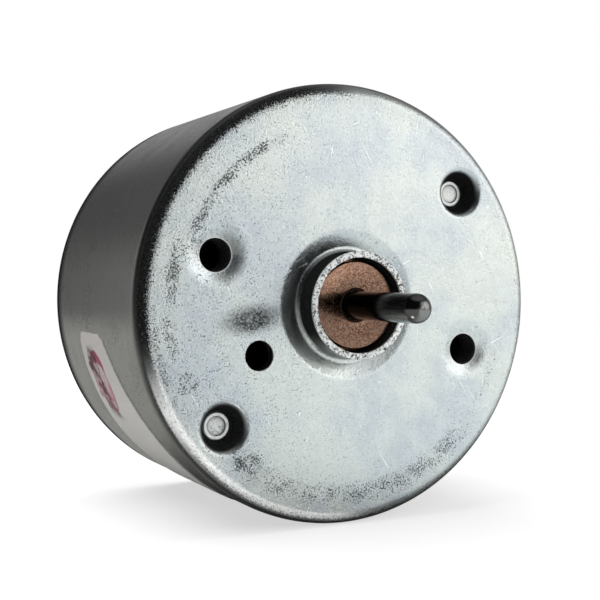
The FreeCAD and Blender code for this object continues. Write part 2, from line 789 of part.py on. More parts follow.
def make_label():
    """Paper inspection sticker wrapped on the can's side."""
    label = turned("inspection_label", [
        ("can_radius", "label_front"),
        ("can_radius + label_thickness", "label_front"),
        ("can_radius + label_thickness", "label_rear"),
        ("can_radius", "label_rear"),
    ], angle="label_sweep")
    end_angle = size("label_start_angle") + size("label_sweep")
    label.Placement = FreeCAD.Placement(FreeCAD.Vector(), facing(end_angle))
    return label


def make_all():
    caps = ("cap_pole_radius", "cap_shoe_inner", "cap_shoe_angle", "cap_neck_width")
    parts = [make_can(), make_magnet(), make_rear_cover(), make_shaft(), make_stack(), make_label()]
    parts += make_bearings() + make_commutator() + make_washers()
    parts.append(pole_plate("front_insulator", "stack_start - cap_thickness", "stack_start", *caps))
    parts.append(pole_plate("rear_insulator", "stack_end", "stack_end + cap_thickness", *caps))
    for number, direction in enumerate(POLES, start=1):
        parts.append(make_winding(f"winding_{number}", direction))
    for side, sign in (("positive", 1), ("negative", -1)):
        parts.append(make_terminal(f"terminal_{side}", sign))
        parts.append(make_brush(f"brush_{side}", sign))
        parts.append(make_damper(f"brush_damper_{side}", sign))
    return parts


nodes = make_all()
doc.recompute()
faults = [o.Label for o in doc.Objects if {"Invalid", "Error"} & set(o.State)]
if faults:
    raise RuntimeError(f"these objects failed: {faults}")
os.makedirs("parts", exist_ok=True)
for node in nodes:
    shape = node.Shape
    if shape.isNull() or not shape.isValid() or not shape.Solids:
        raise RuntimeError(f"{node.Label} has no valid solid")
    shape.exportStep(f"parts/{node.Label}.step")
    print(f"{node.Label}: {len(shape.Solids)} solid, {shape.Volume:.2f} mm3")
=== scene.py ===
"""Looks of a small round brushed DC motor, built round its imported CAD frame.

Meshes are worked out in millimetres in the frame's own axes (shaft along Y, shaft end towards -Y, +Z up)
and turned into metres when a piece is made. Angles round the shaft are counted from +X towards +Z.
"""

import json
import math

import bmesh
import bpy
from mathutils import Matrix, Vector, geometry, noise


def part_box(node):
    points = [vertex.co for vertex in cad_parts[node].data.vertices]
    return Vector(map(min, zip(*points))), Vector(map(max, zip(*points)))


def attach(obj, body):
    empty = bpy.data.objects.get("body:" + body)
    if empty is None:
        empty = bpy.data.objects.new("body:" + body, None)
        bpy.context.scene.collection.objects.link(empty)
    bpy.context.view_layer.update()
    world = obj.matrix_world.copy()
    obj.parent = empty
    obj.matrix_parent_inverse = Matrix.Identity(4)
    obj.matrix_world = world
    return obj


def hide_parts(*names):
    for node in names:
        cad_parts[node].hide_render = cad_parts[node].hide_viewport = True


MM = 0.001
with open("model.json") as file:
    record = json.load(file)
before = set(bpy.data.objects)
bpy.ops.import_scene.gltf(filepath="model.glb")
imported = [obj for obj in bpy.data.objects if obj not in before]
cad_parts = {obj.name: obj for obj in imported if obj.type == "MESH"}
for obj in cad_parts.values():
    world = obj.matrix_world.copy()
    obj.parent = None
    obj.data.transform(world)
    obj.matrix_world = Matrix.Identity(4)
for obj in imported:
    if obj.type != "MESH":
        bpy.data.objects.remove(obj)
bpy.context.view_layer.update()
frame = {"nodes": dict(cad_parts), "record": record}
MOUNTS = {m["name"]: m for m in frame["record"]["mounts"]}


def box_mm(node):
    low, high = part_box(node)
    return low / MM, high / MM


# ---- sizes, from the frame where it states them, in millimetres and degrees ----
can_low, can_high = box_mm("motor_can")
shaft_low, shaft_high = box_mm("shaft")

CAN_RADIUS = can_high.x
CAN_LENGTH = can_high.y
CAN_WALL = MOUNTS["locating_hole"]["dims"]["length_mm"]
CAN_CORNER = 1.0
INNER_CORNER = 0.3
COLLAR_RADIUS = MOUNTS["pilot_collar"]["dims"]["r_mm"]
COLLAR_BORE = box_mm("front_bearing")[1].x
COLLAR_FRONT = can_low.y
COLLAR_FILLET = 0.28
RECESS_RADIUS = 5.38
RECESS_DEPTH = 0.3
RECESS_SLOPE = 1.15
SCREW_RADIUS = MOUNTS["screw_holes"]["dims"]["hole_r_mm"]
SCREW_CIRCLE = MOUNTS["screw_holes"]["dims"]["pcd_mm"] / 2
SCREW_ANGLE = 160.9
SCREW_DISH = 2.0
SCREW_DISH_DEPTH = 0.28
SCREW_EDGE = 1.19            # where the dish ends and the hole begins
SCREW_DEPTH = 2.2
SCREW_COLLAR = 1.62
THREAD_PITCH = 0.45
THREAD_DEPTH = 0.2
LOCATING_RADIUS = MOUNTS["locating_hole"]["dims"]["r_mm"]
LOCATING_X = MOUNTS["locating_hole"]["pos_m"][0] / MM
LOCATING_Z = MOUNTS["locating_hole"]["pos_m"][2] / MM
DIMPLE_CIRCLE = 12.83
DIMPLE_ANGLE = 220.8
DIMPLE_MOUTH = 1.62
DIMPLE_FLOOR = 1.2
DIMPLE_DEPTH = 1.5
DIMPLE_ROUNDING = 0.5
DIMPLE_RING_OUTER = 0.98
DIMPLE_RING_INNER = 0.66
DIMPLE_RING_HEIGHT = 0.12
SHAFT_RADIUS = MOUNTS["shaft_end"]["dims"]["r_mm"]
SHAFT_FRONT_ROUNDING = 0.93
SHAFT_REAR_ROUNDING = 0.48
OIL_GROOVE_FRONT = -1.2
OIL_GROOVE_BACK = -0.6
OIL_GROOVE_DEPTH = 0.18
BUSH_GAP = 0.02              # between a bush's bore and the shaft
BUSH_CHAMFER = 0.24
NOSE_RADIUS = 3.12
NOSE_BACK = -0.4
MOUTH_SHADE_FADE = (0.26, 0.2)       # past the shaft's side, where a bush's painted mouth shade begins and is full
LABEL_TOP = 188.0            # direction of the sticker's upper end
LABEL_LIFT = 0.004
LABEL_THICKNESS = 0.07
LABEL_GRID = 0.4
CIRCLE_STEPS = 480           # columns round the can
FINE_STEPS = 720             # columns round the collar
SMALL_STEPS = 144            # columns round a hole or a dimple
EDGE_MARGIN = 0.1            # a flat sheet's second ring stands this far from its edge
CENTRE = (0.0, 0.0)


# ---- mesh work ----
def on_circle(radius, angle):
    """The (x, z) point in a direction from the axis. Angle in degrees."""
    turn = math.radians(angle)
    return radius * math.cos(turn), radius * math.sin(turn)


def circle_angles(steps, extra=()):
    """Angles in degrees, evenly spread, with some more where an edge needs one."""
    return sorted({round(360 * i / steps, 6) for i in range(steps)} | {round(a % 360, 6) for a in extra})


def arc(centre, radius, start, end, steps):
    """Points on an arc, with both ends, in (radius, station) space. Angles in degrees."""
    turns = [math.radians(start + (end - start) * i / steps) for i in range(steps + 1)]
    return [(centre[0] + radius * math.cos(t), centre[1] + radius * math.sin(t)) for t in turns]


def rounded(points, radii, closed=True, steps=6):
    """An outline with its corners rounded. radii holds one radius for each corner, 0 for a sharp one."""
    made = []
    count = len(points)
    for i, (point, radius) in enumerate(zip(points, radii)):
        at_end = not closed and i in (0, count - 1)
        if radius <= 0 or at_end:
            made.append(point)
            continue
        here, before, after = Vector(point), Vector(points[i - 1]), Vector(points[(i + 1) % count])
        back, ahead = (before - here).normalized(), (after - here).normalized()
        half = back.angle(ahead) / 2
        reach = radius / math.tan(half)
        middle = here + (back + ahead).normalized() * (radius / math.sin(half))
        start, end = here + back * reach - middle, here + ahead * reach - middle
        sweep = start.angle_signed(end)
        for k in range(steps + 1):
            turn = sweep * k / steps
            cos, sin = math.cos(-turn), math.sin(-turn)
            made.append((middle.x + start.x * cos - start.y * sin, middle.y + start.x * sin + start.y * cos))
    return made


def lathe(profile, angles, centre=CENTRE, closed=False, shape=None):
    """Points and faces of an outline of (radius, station) turned about an axis parallel to the shaft.

    shape(radius, station, angle) may move a point. An outline point on the axis becomes one point.
    """
    points, rows = [], []
    for radius, station in profile:
        if radius < 1e-9:
            rows.append([len(points)])
            points.append((centre[0], station, centre[1]))
            continue
        row = []
        for angle in angles:
            r, y = shape(radius, station, angle) if shape else (radius, station)
            row.append(len(points))
            turn = math.radians(angle)
            points.append((centre[0] + r * math.cos(turn), y, centre[1] + r * math.sin(turn)))
        rows.append(row)
    faces = []
    pairs = list(zip(rows, rows[1:] + rows[:1])) if closed else list(zip(rows, rows[1:]))
    count = len(angles)
    for one, two in pairs:
        for i in range(count):
            j = (i + 1) % count
            corners = [one[i % len(one)], one[j % len(one)], two[j % len(two)], two[i % len(two)]]
            face = list(dict.fromkeys(corners))
            if len(face) > 2:
                faces.append(face)
    return points, faces


def closer(profile, reach):
    """The same outline with more points on its long stretches, so that no gap is over reach millimetres."""
    made = [profile[0]]
    for one, two in zip(profile, profile[1:]):
        steps = max(1, math.ceil(math.dist(one, two) / reach))
        made += [(one[0] + (two[0] - one[0]) * k / steps, one[1] + (two[1] - one[1]) * k / steps)
                 for k in range(1, steps + 1)]
    return made


def loop(radius, angles, centre):
    """The (x, z) points of a ring."""
    return [(centre[0] + radius * math.cos(math.radians(a)), centre[1] + radius * math.sin(math.radians(a)))
            for a in angles]


def flat_fill(station, outer, holes, spacing):
    """A flat sheet at a station between an outer ring and round holes. Each ring is (radius, angles, centre).

    A second ring close to each edge keeps the shading of the rounded edges off the flat.
    """
    flat, edges = [], []
    for radius, angles, centre in [outer] + holes:
        first = len(flat)
        ring = loop(radius, angles, centre)
        flat += ring
        edges += [(first + i, first + (i + 1) % len(ring)) for i in range(len(ring))]
    flat += loop(outer[0] - EDGE_MARGIN, outer[1], outer[2])
    for radius, angles, centre in holes:
        flat += loop(radius + EDGE_MARGIN, angles, centre)
    reach = int(outer[0] / spacing) + 1
    for i in range(-reach, reach + 1):
        for j in range(-reach, reach + 1):
            x, z = (i + 0.5 * (j % 2)) * spacing, j * spacing * 0.87
            inside = math.hypot(x, z) < outer[0] - 2.5 * EDGE_MARGIN
            if inside and all(math.dist((x, z), c) > r + 2.5 * EDGE_MARGIN for r, _, c in holes):
                flat.append((x, z))
    made, _, triangles, *_ = geometry.delaunay_2d_cdt([Vector(p) for p in flat], edges, [], 0, 1e-7)
    kept = []
    for face in triangles:
        middle = sum((made[i] for i in face), Vector((0, 0))) / len(face)
        if middle.length < outer[0] and all((middle - Vector(c)).length > r * 0.999 for r, _, c in holes):
            kept.append(list(face))
    return [(p.x, station, p.y) for p in made], kept


def piece(name, shells, body, material, replaces=(), sharp=32, soot=None):
    """A named piece of the object from shells of (points, faces) in millimetres, welded and shaded smooth.

    The given shade function's value at each point is stored for the material to read: from 0 to 1 it tells
    how much painted shade blackens the metal there, and from 0 down to -1 how pale it is: torn bare metal and
    painted highlights.
    """
    mesh = bpy.data.meshes.new(name)
    work = bmesh.new()
    for points, faces in shells:
        corners = [work.verts.new(Vector(p) * MM) for p in points]
        for face in faces:
            try:
                work.faces.new([corners[i] for i in face])
            except ValueError:
                continue
    bmesh.ops.remove_doubles(work, verts=work.verts, dist=2e-7)
    bmesh.ops.delete(work, geom=[v for v in work.verts if not v.link_faces], context="VERTS")
    bmesh.ops.recalc_face_normals(work, faces=work.faces)
    work.to_mesh(mesh)
    work.free()
    mesh.shade_smooth()
    mesh.set_sharp_from_angle(angle=math.radians(sharp))
    if soot:
        layer = mesh.attributes.new("soot", "FLOAT", "POINT")
        for vertex, entry in zip(mesh.vertices, layer.data):
            entry.value = soot(vertex.co / MM)
    made = bpy.data.objects.new(name, mesh)
    bpy.context.scene.collection.objects.link(made)
    made.data.materials.append(material)
    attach(made, body)
    if replaces:
        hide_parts(*replaces)
    return made


# ---- material work ----
def add_node(tree, kind, inputs, **settings):
    """A new node. Each input is linked from a socket or set to a value."""
    made = tree.nodes.new(kind)
    for key, value in settings.items():
        setattr(made, key, value)
    for key, value in inputs.items():
        if isinstance(value, bpy.types.NodeSocket):
            tree.links.new(value, made.inputs[key])
        else:
            made.inputs[key].default_value = value
    return made


class Shade:
    """One procedural material. Texture places are in millimetres in the piece's own space."""

    def __init__(self, name, **settings):
        self.material = bpy.data.materials.new(name)
        self.material.use_nodes = True
        self.tree = self.material.node_tree
        self.tree.nodes.clear()
        self.shader = self.tree.nodes.new("ShaderNodeBsdfPrincipled")
        output = self.tree.nodes.new("ShaderNodeOutputMaterial")
        self.tree.links.new(self.shader.outputs["BSDF"], output.inputs["Surface"])
        for key, value in settings.items():
            self.shader.inputs[key.replace("_", " ")].default_value = value
        self.bump = None
        coordinates = self.tree.nodes.new("ShaderNodeTexCoord")
        self.uv = coordinates.outputs["UV"]
        self.place = self.mapped(coordinates.outputs["Object"], (1000, 1000, 1000))

    def node(self, kind, inputs, **settings):
        return add_node(self.tree, kind, inputs, **settings)

    def mapped(self, place, scale=(1, 1, 1), turn=(0, 0, 0), shift=(0, 0, 0)):
        turns = [math.radians(a) for a in turn]
        return self.node("ShaderNodeMapping", {"Vector": place, "Scale": scale, "Rotation": turns,
                                               "Location": shift}).outputs["Vector"]

    def noise(self, scale, detail=3.0, rough=0.5, place=None, distortion=0.0):
        inputs = {"Vector": place or self.place, "Scale": scale, "Detail": detail, "Roughness": rough,
                  "Distortion": distortion}
        return self.node("ShaderNodeTexNoise", inputs).outputs["Fac"]

    def voronoi(self, scale):
        return self.node("ShaderNodeTexVoronoi", {"Vector": self.place, "Scale": scale}).outputs["Distance"]

    def math(self, operation, one, two=0.0):
        return self.node("ShaderNodeMath", {0: one, 1: two}, operation=operation).outputs[0]

    def times(self, one, two):
        return self.math("MULTIPLY", one, two)

    def plus(self, one, two):
        return self.math("ADD", one, two)

    def minus(self, one, two):
        return self.math("SUBTRACT", one, two)

    def most(self, one, two):
        return self.math("MAXIMUM", one, two)

    def length(self, one, two):
        """How far out a point lies, from its places along two square axes."""
        return self.math("SQRT", self.plus(self.times(one, one), self.times(two, two)))

    def soot(self):
        """What piece() stored for this point of the mesh."""
        return self.node("ShaderNodeAttribute", {}, attribute_name="soot").outputs["Fac"]

    def step(self, value, low, high, to_low=0.0, to_high=1.0):
        """A smooth ramp from to_low at low to to_high at high."""
        return self.node("ShaderNodeMapRange", {"Value": value, "From Min": low, "From Max": high,
                                                "To Min": to_low, "To Max": to_high},
                         interpolation_type="SMOOTHSTEP").outputs["Result"]

    def mix(self, share, one, two):
        """Colour one where share is 0 and colour two where it is 1."""
        made = self.tree.nodes.new("ShaderNodeMix")
        made.data_type = "RGBA"
        for socket, value in ((made.inputs[0], share), (made.inputs[6], one), (made.inputs[7], two)):
            if isinstance(value, bpy.types.NodeSocket):
                self.tree.links.new(value, socket)
            elif isinstance(value, tuple):
                socket.default_value = (*value, 1.0)
            else:
                socket.default_value = value
        return made.outputs[2]

    def spot(self, centre, reach, tilt, amount):
        """A soft oval on the face: its centre and half sizes in millimetres, and its tilt in degrees."""
        cos, sin = math.cos(math.radians(tilt)), math.sin(math.radians(tilt))
        east = self.minus(self.axis(self.place, "X"), centre[0])
        north = self.minus(self.axis(self.place, "Z"), centre[1])
        one = self.plus(self.times(east, cos / reach[0]), self.times(north, sin / reach[0]))
        two = self.minus(self.times(north, cos / reach[1]), self.times(east, sin / reach[1]))
        return self.step(self.length(one, two), 1.0, 0.25, 0.0, amount)

    def axis(self, place, name):
        return self.node("ShaderNodeSeparateXYZ", {"Vector": place}).outputs[name]

    def add_bump(self, height, depth, strength=1.0):
        """Adds relief whose full height is depth millimetres. strength may be a mask."""
        inputs = {"Height": height, "Distance": depth * MM, "Strength": strength}
        if self.bump:
            inputs["Normal"] = self.bump
        self.bump = self.node("ShaderNodeBump", inputs).outputs["Normal"]
        self.tree.links.new(self.bump, self.shader.inputs["Normal"])

    def use(self, **sockets):
        for key, value in sockets.items():
            self.tree.links.new(value, self.shader.inputs[key.replace("_", " ")])
        return self.material


def zinc_steel():
    """Zinc-plated drawn steel: mottled and finely grained, with painted shade round the rim, a painted
    highlight at its lower left and a painted reflection of the shaft on the face, peppered where it has worn.

    The mesh's stored attribute is above 0 where the metal is blackened, by painted shade and towards the rear
    edge,
    and below 0 where it is pale: torn bare metal, painted highlights and the dimples' paler floors.
    """
    s = Shade("can_steel", Specular_IOR_Level=0.0)
    x, y, z = (s.axis(s.place, name) for name in "XYZ")
    radius = s.length(x, z)
    on_face = s.step(y, 0.7, 0.1)
    broad = s.noise(0.14, 3.0, 0.55)
    cloud = s.noise(0.6, 5.0, 0.7)
    grain = s.noise(4.5, 4.0, 0.7)
    fine = s.noise(11.0, 2.0, 0.6)
    colour = s.mix(s.step(broad, 0.38, 0.62), (0.46, 0.495, 0.52), (0.55, 0.58, 0.555))
    colour = s.mix(s.step(cloud, 0.36, 0.74, 0.0, 0.4), colour, (0.67, 0.71, 0.685))
    colour = s.mix(s.step(grain, 0.44, 0.30, 0.0, 0.45), colour, (0.26, 0.285, 0.285))
    side_colour = s.mix(broad, (0.44, 0.44, 0.425), (0.50, 0.50, 0.485))
    side_colour = s.mix(s.step(cloud, 0.5, 0.72, 0.0, 0.35), side_colour, (0.34, 0.345, 0.34))
    colour = s.mix(on_face, side_colour, colour)

    # dark specks, thick where the plating has worn
    turn = s.times(s.math("ARCTAN2", z, x), 180 / math.pi)
    worn = s.step(x, 5.0, -13.0, 0.12, 0.36)
    for middle, half, begin, finish, amount in WORN_ARCS:
        across = s.math("ABSOLUTE", s.minus(radius, middle))
        along = s.times(s.step(turn, begin - 9, begin + 9), s.step(turn, finish + 9, finish - 9))
        share = s.times(s.times(s.step(across, half, half * 0.1), along), amount)
        worn = s.most(worn, share)
    for centre, reach, tilt, amount in WORN_PATCHES:
        worn = s.most(worn, s.spot(centre, reach, tilt, amount))
    cluster = s.step(s.noise(1.1, 4.0, 0.65), 0.36, 0.60, 0.45, 1.0)
    worn = s.times(worn, cluster)
    specks = s.noise(7.5, 3.0, 0.75, s.mapped(s.place, shift=(40, 0, 7)))
    threshold = s.minus(0.65, s.times(worn, 0.2))
    specks = s.step(s.minus(specks, threshold), 0.0, 0.04)
    dusty = s.step(s.noise(0.3, 3.0, 0.6, s.mapped(s.place, shift=(17, 3, 8))), 0.44, 0.66, 0.0, 0.6)
    specks = s.times(specks, s.most(on_face, dusty))
    colour = s.mix(s.times(specks, 0.85), colour, SPECK_BLACK)
    # painted reflection of the shaft: a dark blurred patch on the face, left of the collar
    shaft_reflection = s.times(s.spot(*SHAFT_REFLECTION), s.step(grain, 0.62, 0.40, 0.55, 1.0))
    colour = s.mix(shaft_reflection, colour, SHAFT_REFLECTION_BLACK)

    # pale flecks and hairline scratches in a few directions
    flat = s.mapped(s.place, turn=(0, 40, 0), scale=(1.0, 1.0, 0.55))
    flecks = s.step(s.noise(3.6, 3.0, 0.6, flat), 0.655, 0.70)
    flecks = s.times(flecks, s.step(s.noise(0.4, 2.0), 0.48, 0.66))
    for tilt, seed in ((25, 3.0), (-58, 11.0), (80, 23.0)):
        tilted = s.mapped(s.place, turn=(0, tilt, 0), shift=(seed, seed, seed))
        thin = s.noise(1.0, 2.0, 0.5, s.mapped(tilted, scale=(0.25, 6.0, 5.5)), 0.25)
        keep = s.step(s.noise(0.45, 1.0, 0.5, s.mapped(s.place, shift=(seed * 2, 0, seed))), 0.50, 0.62)
        line = s.times(s.step(thin, 0.66, 0.72), keep)
        flecks = s.most(flecks, line)
    flecks = s.times(flecks, on_face)
    colour = s.mix(s.times(flecks, 0.65), colour, PALE_STEEL_AND_HIGHLIGHT)

    # the rim: a band of painted shade with a ragged inner edge, where the rounded corner turns from the
    # light, and a pale band of painted highlight at the lower left. across counts millimetres over the
    # rounded corner: under 15 on the face, over 17 on the side.
    across = s.plus(radius, y)
    rim_ragged = s.noise(9.0, 3.0, 0.7, s.mapped(s.place, shift=(5, 60, 31)))
    way_x, way_z = s.math("DIVIDE", x, radius), s.math("DIVIDE", z, radius)
    toward = {}
    for name, angle in RIM_WAYS:
        cos, sin = math.cos(math.radians(angle)), math.sin(math.radians(angle))
        toward[name] = s.plus(s.times(way_x, cos), s.times(way_z, sin))
    outside = s.step(across, *RIM_FADE)
    # painted shade: dark ragged bands on the rounded corner, strongest where it turns from the light
    grime = None
    for name, begin, full, weak, strong, amount in RIM_BANDS:
        share = s.step(across, begin, full)
        ragged_shade = s.step(s.minus(rim_ragged, s.minus(0.66, s.times(share, 0.36))), 0.0, 0.06)
        band = s.times(s.times(ragged_shade, outside), s.step(toward[name], weak, strong, 0.0, amount))
        grime = band if grime is None else s.most(grime, band)
    # painted highlight: a pale ragged band on the rim's rounded corner at the lower left
    rim_highlight = s.times(s.step(across, *RIM_HIGHLIGHT_INNER), s.step(across, *RIM_HIGHLIGHT_OUTER))
    rim_highlight = s.times(rim_highlight, s.step(toward["lower_left"], 0.66, 0.86))
    rim_highlight = s.times(rim_highlight, s.step(rim_ragged, 0.36, 0.46))

    # the stored attribute: painted shade above 0; torn bare metal, painted highlights and paler dimple floors
    # below 0
    state = s.soot()
    soot = s.most(s.most(state, grime), 0.0)
    torn_and_highlit_edge = s.most(s.times(state, -1.0), 0.0)
    bare_and_highlit = s.most(torn_and_highlit_edge, rim_highlight)
    colour = s.mix(rim_highlight, colour, PALE_STEEL_AND_HIGHLIGHT)
    colour = s.mix(torn_and_highlit_edge, colour, TORN_AND_HIGHLIT_STEEL)
    pits = s.times(s.step(s.noise(5.5, 4.0, 0.8), 0.50, 0.545), s.step(torn_and_highlit_edge, 0.85, 0.95))
    colour = s.mix(s.times(pits, 0.92), colour, (0.02, 0.02, 0.02))
    black = s.mix(s.step(fine, 0.42, 0.62), (0.007, 0.007, 0.007), (0.024, 0.026, 0.025))
    colour = s.mix(s.step(soot, 0.0, 0.8), colour, black)
    rough = s.plus(s.step(cloud, 0.3, 0.75, 0.18, 0.27), s.times(on_face, 0.05))
    rough = s.plus(rough, s.times(s.most(specks, soot), 0.3))
    relief = s.plus(s.times(grain, 0.7), s.times(fine, 0.3))
    near_rim = s.step(radius, 13.8, 15.0, 0.55, 1.0)
    s.add_bump(relief, 0.05, s.times(on_face, near_rim))
    s.add_bump(cloud, 0.016, on_face)
    s.add_bump(s.minus(s.times(flecks, 0.5), specks), 0.02)
    metallic = s.minus(1.0, s.most(s.step(soot, 0.5, 1.0), s.times(bare_and_highlit, 0.7)))
    return s.use(Base_Color=colour, Roughness=rough, Metallic=metallic)


SPECK_BLACK = (0.05, 0.055, 0.055)
# dark colour of the painted reflection of the shaft
SHAFT_REFLECTION_BLACK = (0.04, 0.043, 0.048)
# pale steel for the scratches and flecks, and for the rim's painted highlight
PALE_STEEL_AND_HIGHLIGHT = (0.93, 0.95, 0.94)
# pale torn steel, also used for the screw mouths' painted highlight and the dimples' floors
TORN_AND_HIGHLIT_STEEL = (0.74, 0.76, 0.75)
# directions round the rim in degrees
RIM_WAYS = (("upper_left", 145), ("lower_left", 232), ("below", 268))
# millimetres over the corner: where the rim's painted shade ends on the side, and the edges of the painted
# highlight band
RIM_FADE = (17.4, 15.9)
RIM_HIGHLIGHT_INNER = (14.9, 15.2)
RIM_HIGHLIGHT_OUTER = (16.15, 15.95)
# painted shade bands on the rim's rounded corner: the way a band faces, where it begins and is full in
# millimetres over the corner, the cosines of the turn away from that way at which it begins and is full, and
# its strength
RIM_BANDS = (
    ("upper_left", 14.55, 15.8, 0.35, 0.80, 0.8),
    ("lower_left", 15.9, 16.35, 0.40, 0.80, 0.65),
    ("below", 15.0, 16.3, 0.35, 0.80, 0.6),
)
# middle radius and half width in millimetres, start and end in degrees (-180 to 180), and how worn
WORN_ARCS = (
    (12.9, 0.8, 112, 166, 0.95),
    (13.6, 1.1, 160, 181, 0.95),
    (13.7, 1.0, -181, -163, 0.8),
    (15.0, 0.6, 85, 181, 0.6),
    (14.8, 0.7, -181, -150, 0.7),
    (13.8, 1.5, -126, -42, 0.74),
    (13.6, 0.8, -40, -10, 0.45),
)
# centre, half sizes, tilt in degrees, and how worn
WORN_PATCHES = (
    ((-8.0, -10.9), (2.2, 1.4), -25, 1.05),
    ((-12.3, -5.2), (1.3, 1.3), 0, 0.95),
    ((-7.4, -1.1), (2.6, 1.3), 8, 0.75),
)
# the painted reflection of the shaft on the face: centre, half sizes, tilt in degrees, and strength
SHAFT_REFLECTION = ((-7.6, -0.9), (3.3, 1.4), 8, 0.97)


def bronze():
    """Sintered bronze: pressed powder with open pores and warm speckle."""
    s = Shade("sintered_bronze", Specular_IOR_Level=0.0)
    speckle = s.noise(9.0, 4.0, 0.7)
    patch = s.noise(1.2, 3.0, 0.6)
    colour = s.mix(s.step(speckle, 0.35, 0.68), (0.085, 0.043, 0.027), (0.30, 0.178, 0.122))
    colour = s.mix(s.step(patch, 0.4, 0.7, 0.0, 0.3), colour, (0.22, 0.155, 0.13))
    pores = s.step(s.voronoi(7.0), 0.22, 0.1)
    colour = s.mix(s.times(pores, 0.5), colour, (0.09, 0.05, 0.04))
    # painted shade: black in the bush's mouth, round the shaft
    oil = s.soot()
    colour = s.mix(oil, colour, (0.008, 0.007, 0.006))
    s.add_bump(s.minus(speckle, pores), 0.004)
    return s.use(Base_Color=colour, Roughness=s.step(speckle, 0.3, 0.7, 0.10, 0.22),
                 Metallic=s.minus(1.0, oil))


def polished_steel():
    """Ground and polished shaft steel, with very fine rings from grinding and a painted dark reflection near
    the bush and along its upper side.
    """
    s = Shade("shaft_steel", Metallic=1.0)
    rings = s.noise(1.0, 2.0, 0.6, s.mapped(s.place, scale=(0.4, 26.0, 0.4)))
    smear = s.noise(1.1, 3.0, 0.6)
    # painted dark reflection: the shaft is black near the bush and along its upper side
    upward = s.times(s.axis(s.place, "Z"), 2.0)
    oil = s.step(s.plus(s.axis(s.place, "Y"), upward), -10.6, -6.4, 0.0, 0.95)
    colour = s.mix(oil, s.mix(smear, (0.17, 0.17, 0.165), (0.23, 0.23, 0.225)), (0.014, 0.013, 0.012))
    s.add_bump(rings, 0.0012)
    return s.use(Base_Color=colour, Roughness=s.step(s.plus(rings, smear), 0.6, 1.4, 0.12, 0.17))


def paper():
    """Sticker paper with a filled red stamped ring and a dark abstract stroke. UVs are in millimetres."""
    s = Shade("label_paper", Specular_IOR_Level=0.35)
    fibre = s.noise(6.0, 4.0, 0.65)
    centre = s.mapped(s.uv, shift=(-STAMP_PLACE[0], -STAMP_PLACE[1], 0))
    # painted shade: the paper is darker near the sticker's top edge and paler from 6 mm round
    paper_shade = s.step(s.axis(s.uv, "X"), 0.5, 6.0)
    colour = s.mix(paper_shade, (0.48, 0.46, 0.445), (0.55, 0.545, 0.53))
    colour = s.mix(s.step(fibre, 0.3, 0.7, 0.35, 0.0), colour, (0.34, 0.33, 0.32))
    wobble = s.noise(1.6, 3.0, 0.6)
    u, v = s.axis(centre, "X"), s.axis(centre, "Y")
    u2 = s.times(u, u)
    v2 = s.times(s.times(v, v), (STAMP_RADII[0] / STAMP_RADII[1]) ** 2)
    away = s.plus(s.math("SQRT", s.plus(u2, v2)), s.times(wobble, 0.35))
    blot = s.noise(1.1, 3.0, 0.65)
    inside = s.step(away, STAMP_RADII[0] + 0.2, STAMP_RADII[0] - 0.2)
    inside = s.times(inside, s.step(u, -1.6, 0.4, 0.2, 0.9))
    colour = s.mix(s.times(inside, s.step(blot, 0.36, 0.6, 0.3, 0.95)), colour, (0.42, 0.16, 0.21))
    thick = s.step(u, -0.9, -2.1, 0.2, 0.6)
    ring = s.math("ABSOLUTE", s.minus(away, STAMP_RADII[0] - 0.1))
    ring = s.step(s.minus(ring, thick), 0.0, -0.2)
    colour = s.mix(s.times(ring, 0.95), colour, (0.30, 0.025, 0.075))
    sway = s.times(s.minus(s.noise(0.5, 3.0, 0.7, s.mapped(s.uv, shift=(3, 9, 0))), 0.5), 5.0)
    drift = s.math("ABSOLUTE", s.plus(s.minus(v, 0.7), s.plus(sway, s.times(u, 0.1))))
    stroke = s.times(s.step(drift, 1.2, 0.7), s.step(s.math("ABSOLUTE", u), 3.3, 2.4))
    stroke = s.times(stroke, s.step(s.noise(1.6, 3.0, 0.7), 0.40, 0.56, 0.25, 0.95))
    colour = s.mix(stroke, colour, (0.075, 0.02, 0.04))
    s.add_bump(fibre, 0.008)
    return s.use(Base_Color=colour, Roughness=s.step(fibre, 0.3, 0.7, 0.45, 0.6))


def plastic(name, light, dark, rough=0.42):
    """Moulded plastic with a faint spark-eroded grain and flow marks."""
    s = Shade(name, Specular_IOR_Level=0.45)
    flow = s.noise(0.45, 3.0, 0.55)
    grain = s.noise(11.0, 3.0, 0.6)
    colour = s.mix(flow, dark, light)
    s.add_bump(grain, 0.006)
    return s.use(Base_Color=colour, Roughness=s.step(grain, 0.3, 0.7, rough - 0.06, rough + 0.1))


def rubbery(name, light, dark, rough=0.75):
    """Matt rubber or bonded powder with a granular face."""
    s = Shade(name, Specular_IOR_Level=0.3)
    grit = s.noise(14.0, 4.0, 0.7)
    colour = s.mix(s.step(grit, 0.35, 0.7), dark, light)
    s.add_bump(grit, 0.01)
    return s.use(Base_Color=colour, Roughness=s.step(grit, 0.3, 0.7, rough - 0.1, rough + 0.1))


def metal(name, light, dark, rough=0.3, scale=(0.5, 9.0, 9.0)):
    """Sheet or wire metal with drawn streaks."""
    s = Shade(name, Metallic=1.0)
    streak = s.noise(1.0, 3.0, 0.6, s.mapped(s.place, scale=scale))
    tarnish = s.noise(0.8, 3.0, 0.6)
    colour = s.mix(s.times(s.plus(streak, tarnish), 0.5), dark, light)
    s.add_bump(streak, 0.004)
    return s.use(Base_Color=colour, Roughness=s.step(streak, 0.25, 0.75, rough - 0.08, rough + 0.12))


